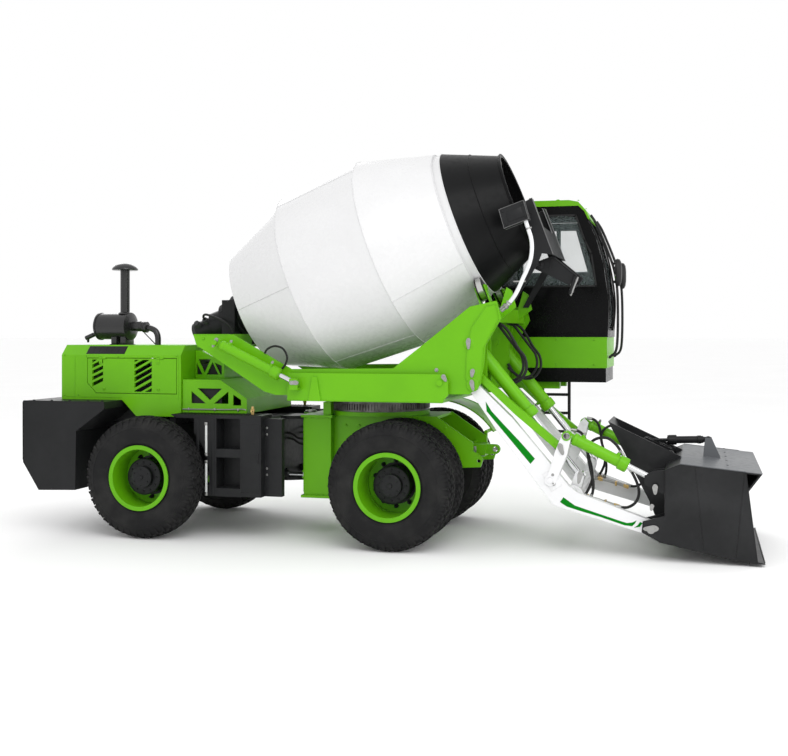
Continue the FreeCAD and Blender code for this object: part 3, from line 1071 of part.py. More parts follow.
# Lifting cylinders
sizes(lift_reach=764, lift_rod=30, lift_shaft=840, lift_eye=42, lift_eye_half=40)
cylinder("lift", ("-lift_y", "lift_y"), ("lift_x", "lift_z"), ("lug_x", "lug_z"),
         "lift_barrel", "lift_reach", "lift_rod", "lift_shaft", "lift_eye", "lift_eye_half", "lift_pin")

# Rockers on the arms and the levelling links that hold them to the tilting frame
sizes(link_eye=35, link_half=22, rocker_link_pin=20, rocker_boss=44)
rockers = piece("rockers")
rocker = [
    ("rocker_x - 40", "rocker_z - 30"), ("rocker_x + 40", "rocker_z - 30"), ("rocker_link_x + 48",
    "rocker_link_z - 40"),
    ("rocker_top_x + 40", "rocker_top_z"), ("rocker_top_x", "rocker_top_z + 40"), ("rocker_top_x - 40",
    "rocker_top_z"),
    ("rocker_link_x - 48", "rocker_link_z - 20"),
]
for name, side in SIDES.items():
    inner = "arm_y - arm_wide / 2 - rocker_gap - rocker_thick"
    outer = "arm_y + arm_wide / 2 + rocker_gap"
    for level, y in (("inner", inner), ("outer", outer)):
        plate(rockers, f"{name}_{level}_plate", side, rocker, y, "rocker_thick")
        pin(rockers, f"{name}_{level}_boss", side, "rocker_x", "rocker_z", y, f"{y} + rocker_thick",
            "rocker_boss")
        pin(rockers, f"{name}_{level}_bore", side, "rocker_x", "rocker_z", y, f"{y} + rocker_thick",
            "rocker_pin + running_fit", cut=True)
    pin(rockers, f"{name}_top_pin", side, "rocker_top_x", "rocker_top_z", f"{inner} - 6",
        f"{outer} + rocker_thick + 6", "lift_pin - 4")
links = piece("levelling_links")
bar = [("link_x - 4", "link_z - 22"), ("990", "1112"), ("rocker_link_x - 20", "rocker_link_z - 24"),
    ("rocker_link_x + 20", "rocker_link_z + 24"),
       ("1012", "1176"), ("link_x + 30", "link_z + 20")]
for name, side in SIDES.items():
    plate(links, f"{name}_bar", side, bar, "arm_y - link_half", "2 * link_half")
    pin(links, f"{name}_root", side, "link_x", "link_z", "arm_y - link_half", "arm_y + link_half",
        "link_eye")
    pin(links, f"{name}_tip", side, "rocker_link_x", "rocker_link_z", "arm_y - link_half",
        "arm_y + link_half", "link_eye")
    pin(links, f"{name}_root_bore", side, "link_x", "link_z", "arm_y - link_half", "arm_y + link_half",
        "link_pin + running_fit", cut=True)
    pin(links, f"{name}_tip_pin", side, "rocker_link_x", "rocker_link_z", "arm_y - link_half - 3",
        "arm_y + link_half + 3", "rocker_link_pin")

# Bucket cylinders
sizes(bucket_barrel=46, bucket_reach=525, bucket_rod=24, bucket_shaft=505, crowd_eye=38,
    crowd_eye_half=34, crowd_x=2060, crowd_z=635)
cylinder("bucket", ("-arm_y", "arm_y"), ("rocker_top_x", "rocker_top_z"), ("crowd_x", "crowd_z"),
         "bucket_barrel", "bucket_reach", "bucket_rod", "bucket_shaft", "crowd_eye", "crowd_eye_half",
         "(lift_pin - 4)")

# Bucket: side plates, floor, back, cover, and the central chute that pours into the hopper
sizes(
    bucket_half=740, bucket_plate=18, floor_back_x=2127, floor_back_z=157, floor_knee_x=2697,
    floor_knee_z=44,
    floor_tip_x=2854, floor_tip_z=36, cover_back_x=2292, cover_back_z=761, cover_front_x=2892,
    cover_front_z=703,
    cover_lip_x=2784, cover_lip_z=557, back_x=2173, back_top=711, back_low=359, ear_x=1996, ear_z=225,
    ear_top_x=2004,
    ear_top_z=309, bucket_sheet=14, throat_half=270, throat_plate=12, throat_tip_x=1700,
    throat_tip_z=1035,
    throat_knee_x=2030, throat_knee_z=400, ear_inner=574, ear_plate=16, crowd_gap=4, crowd_plate=14,
    edge_x=2910,
    edge_z=30, gate_x=2200, gate_z=775, gate_low=200, gate_half=250, gate_plate=12, gate_pin=16,
    gate_boss=30,
    gate_lever_x=1990, gate_lever_z=862, gate_anchor_x=2500, gate_anchor_z=880,
)
pins = piece("bucket_pins")
for name, side in SIDES.items():
    pin(pins, f"{name}_pin", side, "bucket_x", "bucket_z", "ear_inner - 8", "bucket_half + 8",
        "bucket_pin")
bucket = piece("bucket")
bucket_side = [
    ("ear_x", "ear_z"), ("floor_back_x", "floor_back_z"), ("floor_knee_x", "floor_knee_z"),
    ("floor_tip_x", "floor_tip_z"),
    ("cover_front_x - 122", "cover_front_z + 12"), ("cover_back_x", "cover_back_z"),
    ("back_x", "back_top"),
    ("back_x", "back_low"), ("ear_top_x", "ear_top_z"),
]
ear = [("ear_x", "ear_z"), ("floor_back_x", "floor_back_z"), ("back_x + 40", "floor_back_z"),
    ("back_x + 40", "back_low"),
       ("back_x", "back_low"), ("ear_top_x", "ear_top_z")]
crowd_ear = [("crowd_x - 45", "crowd_z - 48"), ("back_x + 10", "crowd_z - 130"), ("back_x + 10",
    "crowd_z + 70"),
             ("crowd_x + 20", "crowd_z + 60"), ("crowd_x - 45", "crowd_z + 20")]
sheet_drop = "bucket_sheet"
floor = [("floor_back_x", "floor_back_z"), ("floor_knee_x", "floor_knee_z"), ("floor_tip_x",
    "floor_tip_z"),
         ("floor_tip_x", "floor_tip_z + bucket_sheet"), ("floor_knee_x", "floor_knee_z + bucket_sheet"),
         ("floor_back_x + 4", "floor_back_z + bucket_sheet")]
back_plate = [("floor_back_x", "floor_back_z"), ("floor_back_x + bucket_sheet + 4", "floor_back_z"),
              ("back_x + bucket_sheet", "back_low"), ("back_x + bucket_sheet", "back_top"),
              ("back_x", "back_top"), ("back_x", "back_low")]
cover = [("back_x", "back_top"), ("cover_back_x", "cover_back_z"), ("cover_front_x", "cover_front_z"),
    ("cover_lip_x", "cover_lip_z"),
         ("cover_lip_x - 12", "cover_lip_z + 8"), ("cover_front_x - 24", "cover_front_z - 12"),
         ("cover_back_x + 4", "cover_back_z - bucket_sheet"), ("back_x + 10", "back_top - bucket_sheet")]
edge = [("floor_tip_x - 60", "floor_tip_z - 10"), ("edge_x", "edge_z - 8"), ("edge_x", "edge_z"),
    ("floor_tip_x - 60", "floor_tip_z + bucket_sheet")]
for name, shape in (("floor", floor), ("back", back_plate), ("cover", cover)):
    prism(bucket, name, "XZ", shape, "-(bucket_half - 2)", "2 * (bucket_half - 2)")
prism(bucket, "edge", "XZ", edge, "-bucket_half", "2 * bucket_half")
block(bucket, "throat_opening", ("floor_back_x - 10", "-throat_half", "gate_low + 5"),
      ("back_x + 60", "throat_half", "back_top + 80"), cut=True)
throat = [
    ("throat_tip_x", "throat_tip_z"), ("throat_tip_x + 5", "throat_tip_z - 5"), ("throat_knee_x",
    "throat_knee_z"),
    ("floor_back_x + 4", "floor_back_z + 3"), ("back_x + bucket_sheet", "floor_back_z + 20"),
    ("back_x + bucket_sheet", "back_top"),
    ("cover_back_x", "cover_back_z - bucket_sheet"), ("cover_back_x", "cover_back_z"),
]
throat_floor = [
    ("throat_tip_x", "throat_tip_z"), ("throat_knee_x", "throat_knee_z"), ("floor_back_x",
    "floor_back_z"),
    ("floor_back_x + 12", "floor_back_z + 12"), ("throat_knee_x + 13", "throat_knee_z + 8"),
    ("throat_tip_x + 14", "throat_tip_z - 2"),
]
prism(bucket, "throat_floor", "XZ", throat_floor, "-throat_half", "2 * throat_half")
for name, side in SIDES.items():
    plate(bucket, f"{name}_side", side, bucket_side, "bucket_half - bucket_plate", "bucket_plate")
    plate(bucket, f"{name}_ear", side, ear, "ear_inner", "ear_plate")
    for level, y in (("inner", "arm_y - crowd_eye_half - crowd_gap - crowd_plate - 3"),
        ("outer", "arm_y + crowd_eye_half + crowd_gap + 3")):
        plate(bucket, f"{name}_{level}_crowd_ear", side, crowd_ear, y, "crowd_plate")
    plate(bucket, f"{name}_throat_wall", side, throat, "throat_half - throat_plate", "throat_plate")
    for level, y, wide in (("outer", "bucket_half - bucket_plate", "bucket_plate"),
        ("inner", "ear_inner", "ear_plate")):
        pin(bucket, f"{name}_{level}_pin_bore", side, "bucket_x", "bucket_z", y, f"{y} + {wide}",
            "bucket_pin + running_fit", cut=True)
    pin(bucket, f"{name}_gate_pin", side, "gate_x", "gate_z", "gate_half - 40", "throat_half", "gate_pin")
anchor = [("gate_anchor_x - 42", "cover_back_z - 45"), ("gate_anchor_x + 110", "cover_back_z - 55"),
    ("gate_anchor_x + 25", "gate_anchor_z + 18"),
          ("gate_anchor_x - 25", "gate_anchor_z + 18")]
for name, side in SIDES.items():
    plate(bucket, f"{name}_anchor", side, anchor, "36", "10")
rod(bucket, "anchor_pin", ("gate_anchor_x", "-46", "gate_anchor_z"), "y", "92", "gate_pin")

# Gate in the throat, with its lever and cylinder
gate = piece("bucket_gate")
flap = [("gate_x - gate_plate / 2", "gate_z"), ("gate_x + gate_plate / 2", "gate_z"),
    ("gate_x + gate_plate / 2 + 2", "gate_low + 10"),
        ("gate_x - gate_plate / 2 + 2", "gate_low + 10")]
prism(gate, "flap", "XZ", flap, "-gate_half", "2 * gate_half")
lever = [("gate_x + 8", "gate_z - 40"), ("gate_x + 8", "gate_z + 24"), ("gate_lever_x + 12",
    "gate_lever_z + 28"), ("gate_lever_x - 24", "gate_lever_z + 10"),
         ("gate_lever_x - 14", "gate_lever_z - 22"), ("gate_x - 30", "gate_z - 26")]
for name, side in SIDES.items():
    plate(gate, f"{name}_lever", side, lever, "45", "10")
    pin(gate, f"{name}_boss", side, "gate_x", "gate_z", "gate_half - 40", "gate_half", "gate_boss")
    pin(gate, f"{name}_bore", side, "gate_x", "gate_z", "gate_half - 40", "gate_half",
        "gate_pin + running_fit", cut=True)
sizes(gate_barrel=30, gate_reach=330, gate_rod=14, gate_shaft=300, gate_eye=26, gate_eye_half=24)
cylinder("gate", ("0",), ("gate_anchor_x", "gate_anchor_z"), ("gate_lever_x", "gate_lever_z"),
         "gate_barrel", "gate_reach", "gate_rod", "gate_shaft", "gate_eye", "gate_eye_half", "gate_pin")

# The finished pieces
doc.recompute()
for thing in doc.Objects:
    if "Invalid" in thing.State or "Error" in thing.State:
        raise RuntimeError(f"{thing.Name} failed: {thing.State}")
for body in pieces:
    if body.Shape.isNull() or not body.Shape.isValid() or not body.Shape.Solids:
        raise RuntimeError(f"{body.Label} has no valid solid")
os.makedirs("parts", exist_ok=True)
for body in pieces:
    body.Shape.exportStep(f"parts/{body.Label}.step")
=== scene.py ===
import math

import bmesh
import bpy
from mathutils import Matrix, Vector


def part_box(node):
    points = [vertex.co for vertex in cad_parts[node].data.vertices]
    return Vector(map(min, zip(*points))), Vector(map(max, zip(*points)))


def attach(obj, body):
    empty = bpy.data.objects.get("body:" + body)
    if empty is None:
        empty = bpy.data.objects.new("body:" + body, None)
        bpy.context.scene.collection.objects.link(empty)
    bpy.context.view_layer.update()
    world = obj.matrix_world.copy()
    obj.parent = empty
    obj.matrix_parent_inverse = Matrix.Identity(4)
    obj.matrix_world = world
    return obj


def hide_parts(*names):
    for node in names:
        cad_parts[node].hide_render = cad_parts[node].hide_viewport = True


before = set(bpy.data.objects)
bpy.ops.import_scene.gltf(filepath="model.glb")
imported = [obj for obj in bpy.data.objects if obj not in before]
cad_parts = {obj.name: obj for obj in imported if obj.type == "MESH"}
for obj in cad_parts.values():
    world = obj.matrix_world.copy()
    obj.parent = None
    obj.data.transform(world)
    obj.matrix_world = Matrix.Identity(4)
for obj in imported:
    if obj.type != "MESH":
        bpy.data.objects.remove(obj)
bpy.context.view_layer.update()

# Camera: a long lens at the height of a standing person, level, on the machine's right side
# and a little ahead of its middle.
scene = bpy.context.scene


def add(name, data):
    """An object that holds some data, linked to the scene."""
    thing = bpy.data.objects.new(name, data)
    scene.collection.objects.link(thing)
    return thing


def aim(thing, way):
    """Turn a camera or a lamp to look along a direction."""
    thing.rotation_mode = "QUATERNION"
    thing.rotation_quaternion = Vector(way).to_track_quat("-Z", "Y")


camera = add("camera", bpy.data.cameras.new("camera"))
axle = sum(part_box("front_axle"), Vector()) / 2
yaw = math.radians(13.54)
aim(camera, (-math.sin(yaw), math.cos(yaw), 0))
camera.location = (axle.x + 2.43, axle.y - 8.78, 1.75)
camera.data.lens = 46.96
camera.data.sensor_width = 36
camera.data.shift_x = -0.0736
camera.data.shift_y = -0.0553
scene.camera = camera
scene.view_settings.view_transform = "Standard"

# Floor and light: a pale studio sweep under the machine, a large soft light above its right side,
# a weaker one ahead of it, another behind, and an even white room.


class Wire:
    """A shader socket in an expression: the usual operators add the Math nodes they stand for."""

    def __init__(self, finish, socket):
        self.finish = finish
        self.socket = socket

    def __add__(self, other):
        return self.finish.calc("ADD", self, other)

    __radd__ = __add__

    def __sub__(self, other):
        return self.finish.calc("SUBTRACT", self, other)

    def __rsub__(self, other):
        return self.finish.calc("SUBTRACT", other, self)

    def __mul__(self, other):
        return self.finish.calc("MULTIPLY", self, other)

    __rmul__ = __mul__

    def __lt__(self, other):
        return self.finish.calc("LESS_THAN", self, other)

    def __gt__(self, other):
        return self.finish.calc("GREATER_THAN", self, other)


class Finish:
    """One material: its nodes all come from the node method."""

    def __init__(self, name, **surface):
        self.material = bpy.data.materials.new(name)
        self.material.use_nodes = True
        self.tree = self.material.node_tree
        self.tree.nodes.clear()
        self.surface = self.tree.nodes.new("ShaderNodeBsdfPrincipled")
        out = self.tree.nodes.new("ShaderNodeOutputMaterial")
        self.tree.links.new(self.surface.outputs[0], out.inputs[0])
        self.set(**surface)

    def node(self, kind, settings, inputs, output=0):
        made = self.tree.nodes.new(kind)
        for key, value in settings.items():
            if key == "stops":
                for stop, (at, shade) in zip(made.color_ramp.elements, value):
                    stop.position = at
                    stop.color = (shade, shade, shade, 1)
            else:
                setattr(made, key, value)
        for key, value in inputs.items():
            self.feed(made.inputs[key], value)
        return Wire(self, made.outputs[output])

    def feed(self, socket, value):
        if isinstance(value, Wire):
            self.tree.links.new(value.socket, socket)
        elif socket.type == "RGBA":
            socket.default_value = (*value, 1)
        else:
            socket.default_value = value

    def calc(self, operation, *values):
        return self.node("ShaderNodeMath", {"operation": operation}, dict(enumerate(values)))

    def set(self, **surface):
        for key, value in surface.items():
            self.feed(self.surface.inputs[key.replace("_", " ").title().replace("Ior", "IOR")], value)

    def place(self, axis=None):
        """Object coordinates, which are the machine's own metres at rest, or one of them."""
        here = self.node("ShaderNodeTexCoord", {}, {}, output=3)
        if axis is None:
            return here
        return self.node("ShaderNodeSeparateXYZ", {}, {0: here}, output="XYZ".index(axis))

    def grain(self, scale, detail=3, rough=0.5, stretch=None):
        where = self.place()
        if stretch:
            where = self.node("ShaderNodeMapping", {}, {0: where, 3: stretch})
        settings = {"Vector": where, "Scale": scale, "Detail": detail, "Roughness": rough}
        return self.node("ShaderNodeTexNoise", {}, settings)

    def ramp(self, value, low, high):
        return self.node("ShaderNodeValToRGB", {"stops": ((low, 0), (high, 1))}, {0: value})

    def blend(self, share, first, second):
        return self.node("ShaderNodeMix", {"data_type": "RGBA"}, {0: share, 6: first, 7: second}, output=2)

    def cover(self, share, colour):
        """Lay a colour over the base colour so far."""
        under = Wire(self, self.surface.inputs["Base Color"].links[0].from_socket)
        self.set(base_color=self.blend(share, under, colour))

    def bump(self, height, strength=0.2, distance=0.001, edge=0.0):
        """Relief on the surface, over edges that are softened by a small radius."""
        inputs = {"Height": height, "Strength": strength, "Distance": distance}
        if edge:
            inputs["Normal"] = self.node("ShaderNodeBevel", {"samples": 4}, {"Radius": edge})
        self.set(normal=self.node("ShaderNodeBump", {}, inputs))


pale = Finish("pale_floor", roughness=0.85)
pale.set(base_color=pale.blend(pale.ramp(pale.grain(0.4), 0.35, 0.65), (0.972,) * 3, (0.99,) * 3))
floor = add("floor", bpy.data.meshes.new("floor"))
floor.data.from_pydata([(-400, -400, 0), (400, -400, 0), (400, 400, 0), (-400, 400, 0)], [], [(0, 1, 2, 3)])
floor.data.materials.append(pale.material)
for name, place, target, size, power in (
    ("key_light", (3.5, -7.5, 7.5), (0, 0, 1.2), 6.0, 300),
    ("front_light", (9.0, -2.5, 4.0), (1.0, 0, 1.2), 4.0, 120),
    ("back_light", (-6.0, 7.0, 6.0), (0, 0, 1.2), 5.0, 170),
):
    lamp = add(name, bpy.data.lights.new(name, "AREA"))
    lamp.data.size = size
    lamp.data.energy = power
    lamp.location = place
    aim(lamp, Vector(target) - Vector(place))
scene.world = bpy.data.worlds.new("white_room")
scene.world.use_nodes = True
sky = scene.world.node_tree.nodes["Background"]
sky.inputs[0].default_value = (1, 1, 1, 1)
sky.inputs[1].default_value = 1.0

# Paints: two-coat enamel sprayed over steel plate. Green on the chassis and body, black on tanks and
# working gear, white on the loader arms.


def coat(finish, nodes):
    """Give CAD nodes a finish in every one of their slots."""
    for name in nodes.split():
        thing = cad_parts[name]
        if not thing.material_slots:
            thing.data.materials.append(finish.material)
        for slot in thing.material_slots:
            slot.material = finish.material


def enamel(name, colour, shade, gloss, coat_weight=0.06, edge=0.004, shine=0.2):
    """Sprayed enamel with a faint orange peel, dust that dulls it in patches, and softened plate edges."""
    paint = Finish(name, coat_roughness=0.12, specular_ior_level=shine)
    cloud = paint.ramp(paint.grain(1.7, detail=6, rough=0.62), 0.38, 0.7)
    film = paint.ramp(paint.grain(23, detail=4), 0.45, 0.75)
    dust = (1 - paint.place("Z") * 0.8) * 0.5
    paint.set(base_color=paint.blend(cloud, colour, shade))
    paint.set(roughness=gloss + film * 0.1 + cloud * 0.06 + paint.calc("MAXIMUM", dust, 0.0) * 0.12)
    paint.set(coat_weight=coat_weight - film * coat_weight * 0.4)
    paint.bump(paint.grain(420, detail=2), strength=0.08, distance=0.0006, edge=edge)
    return paint


green = enamel("green_enamel", (0.135, 0.435, 0.004), (0.118, 0.39, 0.004), 0.3)
black_tone = (0.010, 0.0105, 0.0112)
black = enamel("black_enamel", black_tone, (0.016, 0.0165, 0.0175), 0.38, shine=0.17)
white = enamel("white_enamel", (0.80, 0.80, 0.81), (0.76, 0.76, 0.77), 0.26, coat_weight=0.25, shine=0.3)
coat(green, "front_frame left_mudguard truss_guards engine_hood turntable drum_frame cab_skirt cab_roof "
     "tilt_barrels lift_barrels bucket_barrels levelling_links hood_right_door hood_left_door tow_eye")
coat(black, "rear_frame rear_box front_axle rear_axle side_tanks cab_floor cab_frame cab_rails cab_door "
     "drum_drive hopper discharge_chute bucket_gate gate_barrel gate_rod right_steering_barrel "
     "left_steering_barrel")
coat(white, "loader_arms rockers")

# Metals, castings and rubber: zinc-plated fittings, hard-chromed rods with fine marks left by the tool,
# a painted iron engine, and the black rubber of hoses and seals.


def metal(name, colour, rough, spread=0.12):
    """Bare or plated steel with fine marks left by the tool."""
    steel = Finish(name, metallic=1.0)
    marks = steel.grain(60, detail=5, rough=0.65, stretch=(1, 1, 14))
    steel.set(base_color=steel.blend(marks, colour, tuple(c * 0.72 for c in colour)))
    steel.set(roughness=rough + marks * spread)
    steel.bump(marks, strength=0.06, distance=0.0004, edge=0.002)
    return steel


def mottled(name, scale, colour, shade, relief=0, strength=0.1, distance=0.0005, edge=0.0, **surface):
    """A plain finish in two close tones, mixed by a noise of one scale, with a relief of another."""
    made = Finish(name, **surface)
    made.set(base_color=made.blend(made.grain(scale), colour, shade))
    if relief:
        made.bump(made.grain(relief), strength, distance, edge)
    return made


zinc = metal("zinc_plate", (0.42, 0.42, 0.41), 0.32)
chrome = metal("hard_chrome", (0.78, 0.79, 0.8), 0.07, spread=0.06)
iron = mottled("cast_iron_paint", 9, (0.03, 0.031, 0.033), (0.05, 0.05, 0.052), 160, 0.4, 0.001, 0.006,
               roughness=0.7, specular_ior_level=0.25)
rubber = mottled("black_rubber", 30, (0.013, 0.013, 0.0135), (0.022, 0.022, 0.022), 300,
                 roughness=0.55, specular_ior_level=0.2)
coat(chrome, "tilt_rods lift_rods bucket_rods right_steering_rod left_steering_rod")
coat(zinc, "bucket_pins")
coat(iron, "engine")

# Chassis fastenings: flange bolts on the hinge column, plated caps on the articulation pins,
# and the weld beads that join the rails to the column and the box.


def spot(x, y, z):
    """A place in metres, from millimetres ahead of the front axle, left of the middle and above the ground."""
    return Vector((axle.x + x / 1000, axle.y + y / 1000, z / 1000))


def beside(y, *points):
    """Places at one distance from the centre plane, from (x, z) pairs."""
    return [(x, y, z) for x, z in points]


def around(middle, radius, count, across="xz", shift=0.0):
    """Places on a circle across two axes, the first of them turned by a share of a step."""
    for i in range(count):
        a = 2 * math.pi * (i + shift) / count
        place = Vector(middle)
        for axis, part in zip(across, (math.cos(a), math.sin(a))):
            place["xyz".index(axis)] += radius * part
        yield place


class Shape:
    """One welded or moulded piece, drawn in the machine's millimetres as blocks, turned parts and tubes."""

    def __init__(self):
        self.mesh = bmesh.new()

    def block(self, corner, other, edge=0.0, turn=None):
        """A block between two corners, its edges rounded; turn is an (axis, degrees, about) triple."""
        made = bmesh.ops.create_cube(self.mesh, size=1.0)["verts"]
        for vert in made:
            vert.co = Vector([(a + b) / 2 + c * abs(b - a) for a, b, c in zip(corner, other, vert.co)])
        if turn:
            self.turn(made, *turn)
        if edge:
            self.round(made, edge)
        return made

    def round(self, verts, edge):
        edges = list({e for v in verts for e in v.link_edges})
        bmesh.ops.bevel(self.mesh, geom=edges, offset=edge, segments=2, affect="EDGES", profile=0.5)

    def turn(self, verts, axis, degrees, about):
        matrix = Matrix.Rotation(math.radians(degrees), 3, axis)
        bmesh.ops.rotate(self.mesh, verts=verts, cent=about, matrix=matrix)

    def ring(self, middle, side, other, radius, steps):
        """Corners round a circle; a circle of no radius is one corner, repeated."""
        if not radius:
            return [self.mesh.verts.new(middle)] * steps
        turns = [2 * math.pi * i / steps for i in range(steps)]
        return [self.mesh.verts.new(middle + (side * math.cos(a) + other * math.sin(a)) * radius) for a in turns]

    def skin(self, rings, caps=True):
        """Faces between rings of corners, and over the two ends."""
        for first, second in zip(rings, rings[1:]):
            for i, (a, b) in enumerate(zip(first, second)):
                j = (i + 1) % len(first)
                corners = list(dict.fromkeys((a, first[j], second[j], b)))
                if len(corners) > 2:
                    self.mesh.faces.new(corners)
        if caps:
            self.mesh.faces.new(rings[0][::-1])
            self.mesh.faces.new(rings[-1])

    def lathe(self, profile, start, along, steps=32, closed=True):
        """A turned part: (distance, radius) pairs along an axis from a starting place."""
        start, along = Vector(start), Vector(along).normalized()
        side = along.orthogonal().normalized()
        other = along.cross(side)
        rings = [self.ring(start + along * far, side, other, radius, steps) for far, radius in profile]
        self.skin(rings, closed and profile[0][1] and profile[-1][1])

    def plate(self, outline, axis, start, thick, edge=0.0):
        """A flat plate: an outline across one axis, given thickness along it."""
        flat = "xyz".index(axis)
        low, high = [[self.mesh.verts.new((*p[:flat], level, *p[flat:])) for p in outline]
                     for level in sorted((start, start + thick))]
        self.skin([low, high])
        if edge:
            self.round(low + high, edge)

    def bolt(self, at, along, size=12, head=None):
        """A hexagon head on a washer, seated on a face."""
        high, washer = head or size * 0.7, size * 0.16
        self.lathe([(0, size * 1.15), (washer, size * 1.15)], at, along, steps=20)
        self.lathe([(washer, size * 0.86), (high * 0.85, size * 0.86), (high, size * 0.72)], at, along, steps=6)

    def tube(self, points, radius, steps=12, smooth=6, caps=True):
        """A bent tube or hose through its points, which a smooth curve joins."""
        path = [Vector(p) for p in points]
        if smooth:
            ends = [path[0] * 2 - path[1], *path, path[-1] * 2 - path[-2]]
            spans = zip(ends, ends[1:], ends[2:], ends[3:])
            path = [
                0.5 * (2 * b + (c - a) * t + (2 * a - 5 * b + 4 * c - d) * t * t + (3 * b - a - 3 * c + d) * t ** 3)
                for a, b, c, d in spans for t in (k / smooth for k in range(smooth))
            ] + path[-1:]
        side = (path[1] - path[0]).orthogonal().normalized()
        rings = []
        for before, here, after in zip(path[:1] + path, path, path[1:] + path[-1:]):
            ahead = (after - before).normalized()
            side = (side - ahead * side.dot(ahead)).normalized()
            rings.append(self.ring(here, side, ahead.cross(side), radius, steps))
        self.skin(rings, caps)
        return path

    def bar(self, points, radius, steps=8):
        """A round bar of straight runs."""
        self.tube(points, radius, steps, smooth=0)

    def bead(self, points, radius=4):
        """A weld bead along a seam."""
        self.bar(points, radius, steps=6)

    def hoop(self, points, radius, steps=12):
        """A round bar bent into a closed ring."""
        points = list(points)
        self.tube(points + points[:1], radius, steps, smooth=0, caps=False)

    def make(self, name, body, finish, slot, *stands_for, smooth=35):
        """Turn the drawing into a piece in metres that rides on a body and takes a finish."""
        bmesh.ops.recalc_face_normals(self.mesh, faces=self.mesh.faces)
        data = bpy.data.meshes.new(name)
        self.mesh.to_mesh(data)
        self.mesh.free()
        data.transform(Matrix.Translation(spot(0, 0, 0)) @ Matrix.Scale(0.001, 4))
        data.materials.append(finish.material)
        data.shade_smooth()
        data.set_sharp_from_angle(angle=math.radians(smooth))
        thing = add(name, data)
        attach(thing, body)
        if stands_for:
            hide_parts(*stands_for)
        return thing


fixings = Shape()
for side in (-1, 1):
    for x in range(-900, -640, 52):
        fixings.bolt((x, side * 386, 355), (0, 0, 1), 11)
        fixings.bolt((x, side * 386, 1030), (0, 0, -1), 11)
    for x in (-920, -670):
        fixings.bead(beside(side * 381, (x, 380), (x, 1005)))
    fixings.bead(beside(side * 301, (-668, 640), (-668, 1020)), 5)
    for x, z in ((-560, 960), (-560, 700), (-440, 960), (-440, 700), (330, 960), (400, 700)):
        fixings.bolt((x, side * 300, z), (0, side, 0))
fixings.make("frame_fixings", "front_frame", green, "green_paint")
nuts = Shape()
for level, up in ((412, -1), (1046, 1)):
    nuts.lathe([(0, 52), (14, 52), (18, 46)], (-1000, 0, level), (0, 0, up))
    for at in around((-1000, 0, level + up * 17), 34, 4, "xy", 0.5):
        nuts.bolt(at, (0, 0, up), 8)
for y in (-250, 250):
    nuts.bolt((-920, y, 470), (-1, 0, 0))
nuts.make("articulation_caps", "front_frame", zinc, "steel")

# Articulation hoses: hydraulic hoses from the rear box to the slewing platform, clipped in a loop
# with slack for steering.


def hose(name, body, points, radius):
    """A rubber hose on a fixed route."""
    drawn = Shape()
    path = [spot(*p) for p in drawn.tube(points, radius, smooth=8)]
    made = drawn.make(name, body, rubber, "tyre")


for i, (side, low) in enumerate(((-1, 820), (-1, 870), (1, 840), (1, 890))):
    hose(f"articulation_hose_{i + 1}", "front_frame", beside(
        side * (150 + 28 * i), (-1165, low), (-1110, low - 10), (-1050, low - 45), (-985, low - 45),
        (-940, low - 10), (-920, low)), 9.5)

# Tyres: cross-ply earthmover tyres with a ribbed tread, deep shoulder lugs and moulded bead rings.
# Each is moulded in one, twin on the front axle and single on the rear one.
hub_height, rear_axle = 525, -2220
tread_rubber = Finish("tyre_rubber", specular_ior_level=0.16)
worn = tread_rubber.ramp(tread_rubber.grain(7, detail=6), 0.4, 0.75)
tread_rubber.set(base_color=tread_rubber.blend(worn, (0.011, 0.011, 0.0115), (0.026, 0.0257, 0.0252)))
tread_rubber.set(roughness=0.72 + worn * 0.16)
tread_rubber.bump(tread_rubber.grain(240, detail=4), strength=0.22, distance=0.0012)


def tyre(shape, middle):
    """One tyre about an axle line: the carcass, its rings, and blocks that stand on the tread."""
    half = [(-105, 262), (-105.6, 282), (-121, 300), (-124.5, 306), (-124.3, 312), (-128, 318), (-134, 345),
            (-137.5, 390), (-136.2, 420), (-139, 423), (-138.6, 429), (-134, 433), (-127, 453), (-117, 472),
            (-101, 488), (-80, 499), (-50, 507), (-20, 509.5)]
    profile = half + [(-y, r) for y, r in reversed(half)]
    shape.lathe(profile + profile[:1], middle, (0, 1, 0), steps=96, closed=False)
    count, root, crown = 46, 499, 525
    for near, far, shift, drop, share, slant in (
        (-97, -58, 0.0, 9, 0.7, -0.018), (-50, -20, 0.5, 2, 0.8, 0.018), (-13, 13, 0.1, 0, 0.8, -0.018),
        (20, 50, 0.6, 2, 0.8, 0.018), (58, 97, 0.2, 9, 0.7, -0.018),
    ):
        for i in range(count):
            start, wide = 2 * math.pi * (i + shift) / count, 2 * math.pi / count * share
            corners = []
            for radius, draft in ((root, 0.0), (crown - drop, 2.2)):
                for y, lean in ((near + draft, -slant), (far - draft, slant)):
                    reach = radius - 10 if abs(y) > 85 else radius
                    for angle in (start + draft / 500, start + wide - draft / 500):
                        place = Vector((reach * math.cos(angle + lean), y, reach * math.sin(angle + lean)))
                        corners.append(shape.mesh.verts.new(middle + place))
            for face in ((4, 5, 7, 6), (0, 1, 5, 4), (2, 6, 7, 3), (0, 4, 6, 2), (1, 3, 7, 5)):
                shape.mesh.faces.new([corners[k] for k in face])
    for side in (-1, 1):
        for i in range(count):
            lug = shape.block(middle + Vector((-10, side * 104 - 10, 452)), middle + Vector((10, side * 104 + 10, 504)))
            for vert in lug:
                vert.co.y += side * (16.5 if vert.co.z < middle.z + 480 else -6)
            shape.turn(lug, "Y", 360 * (i + 0.4) / count, middle)


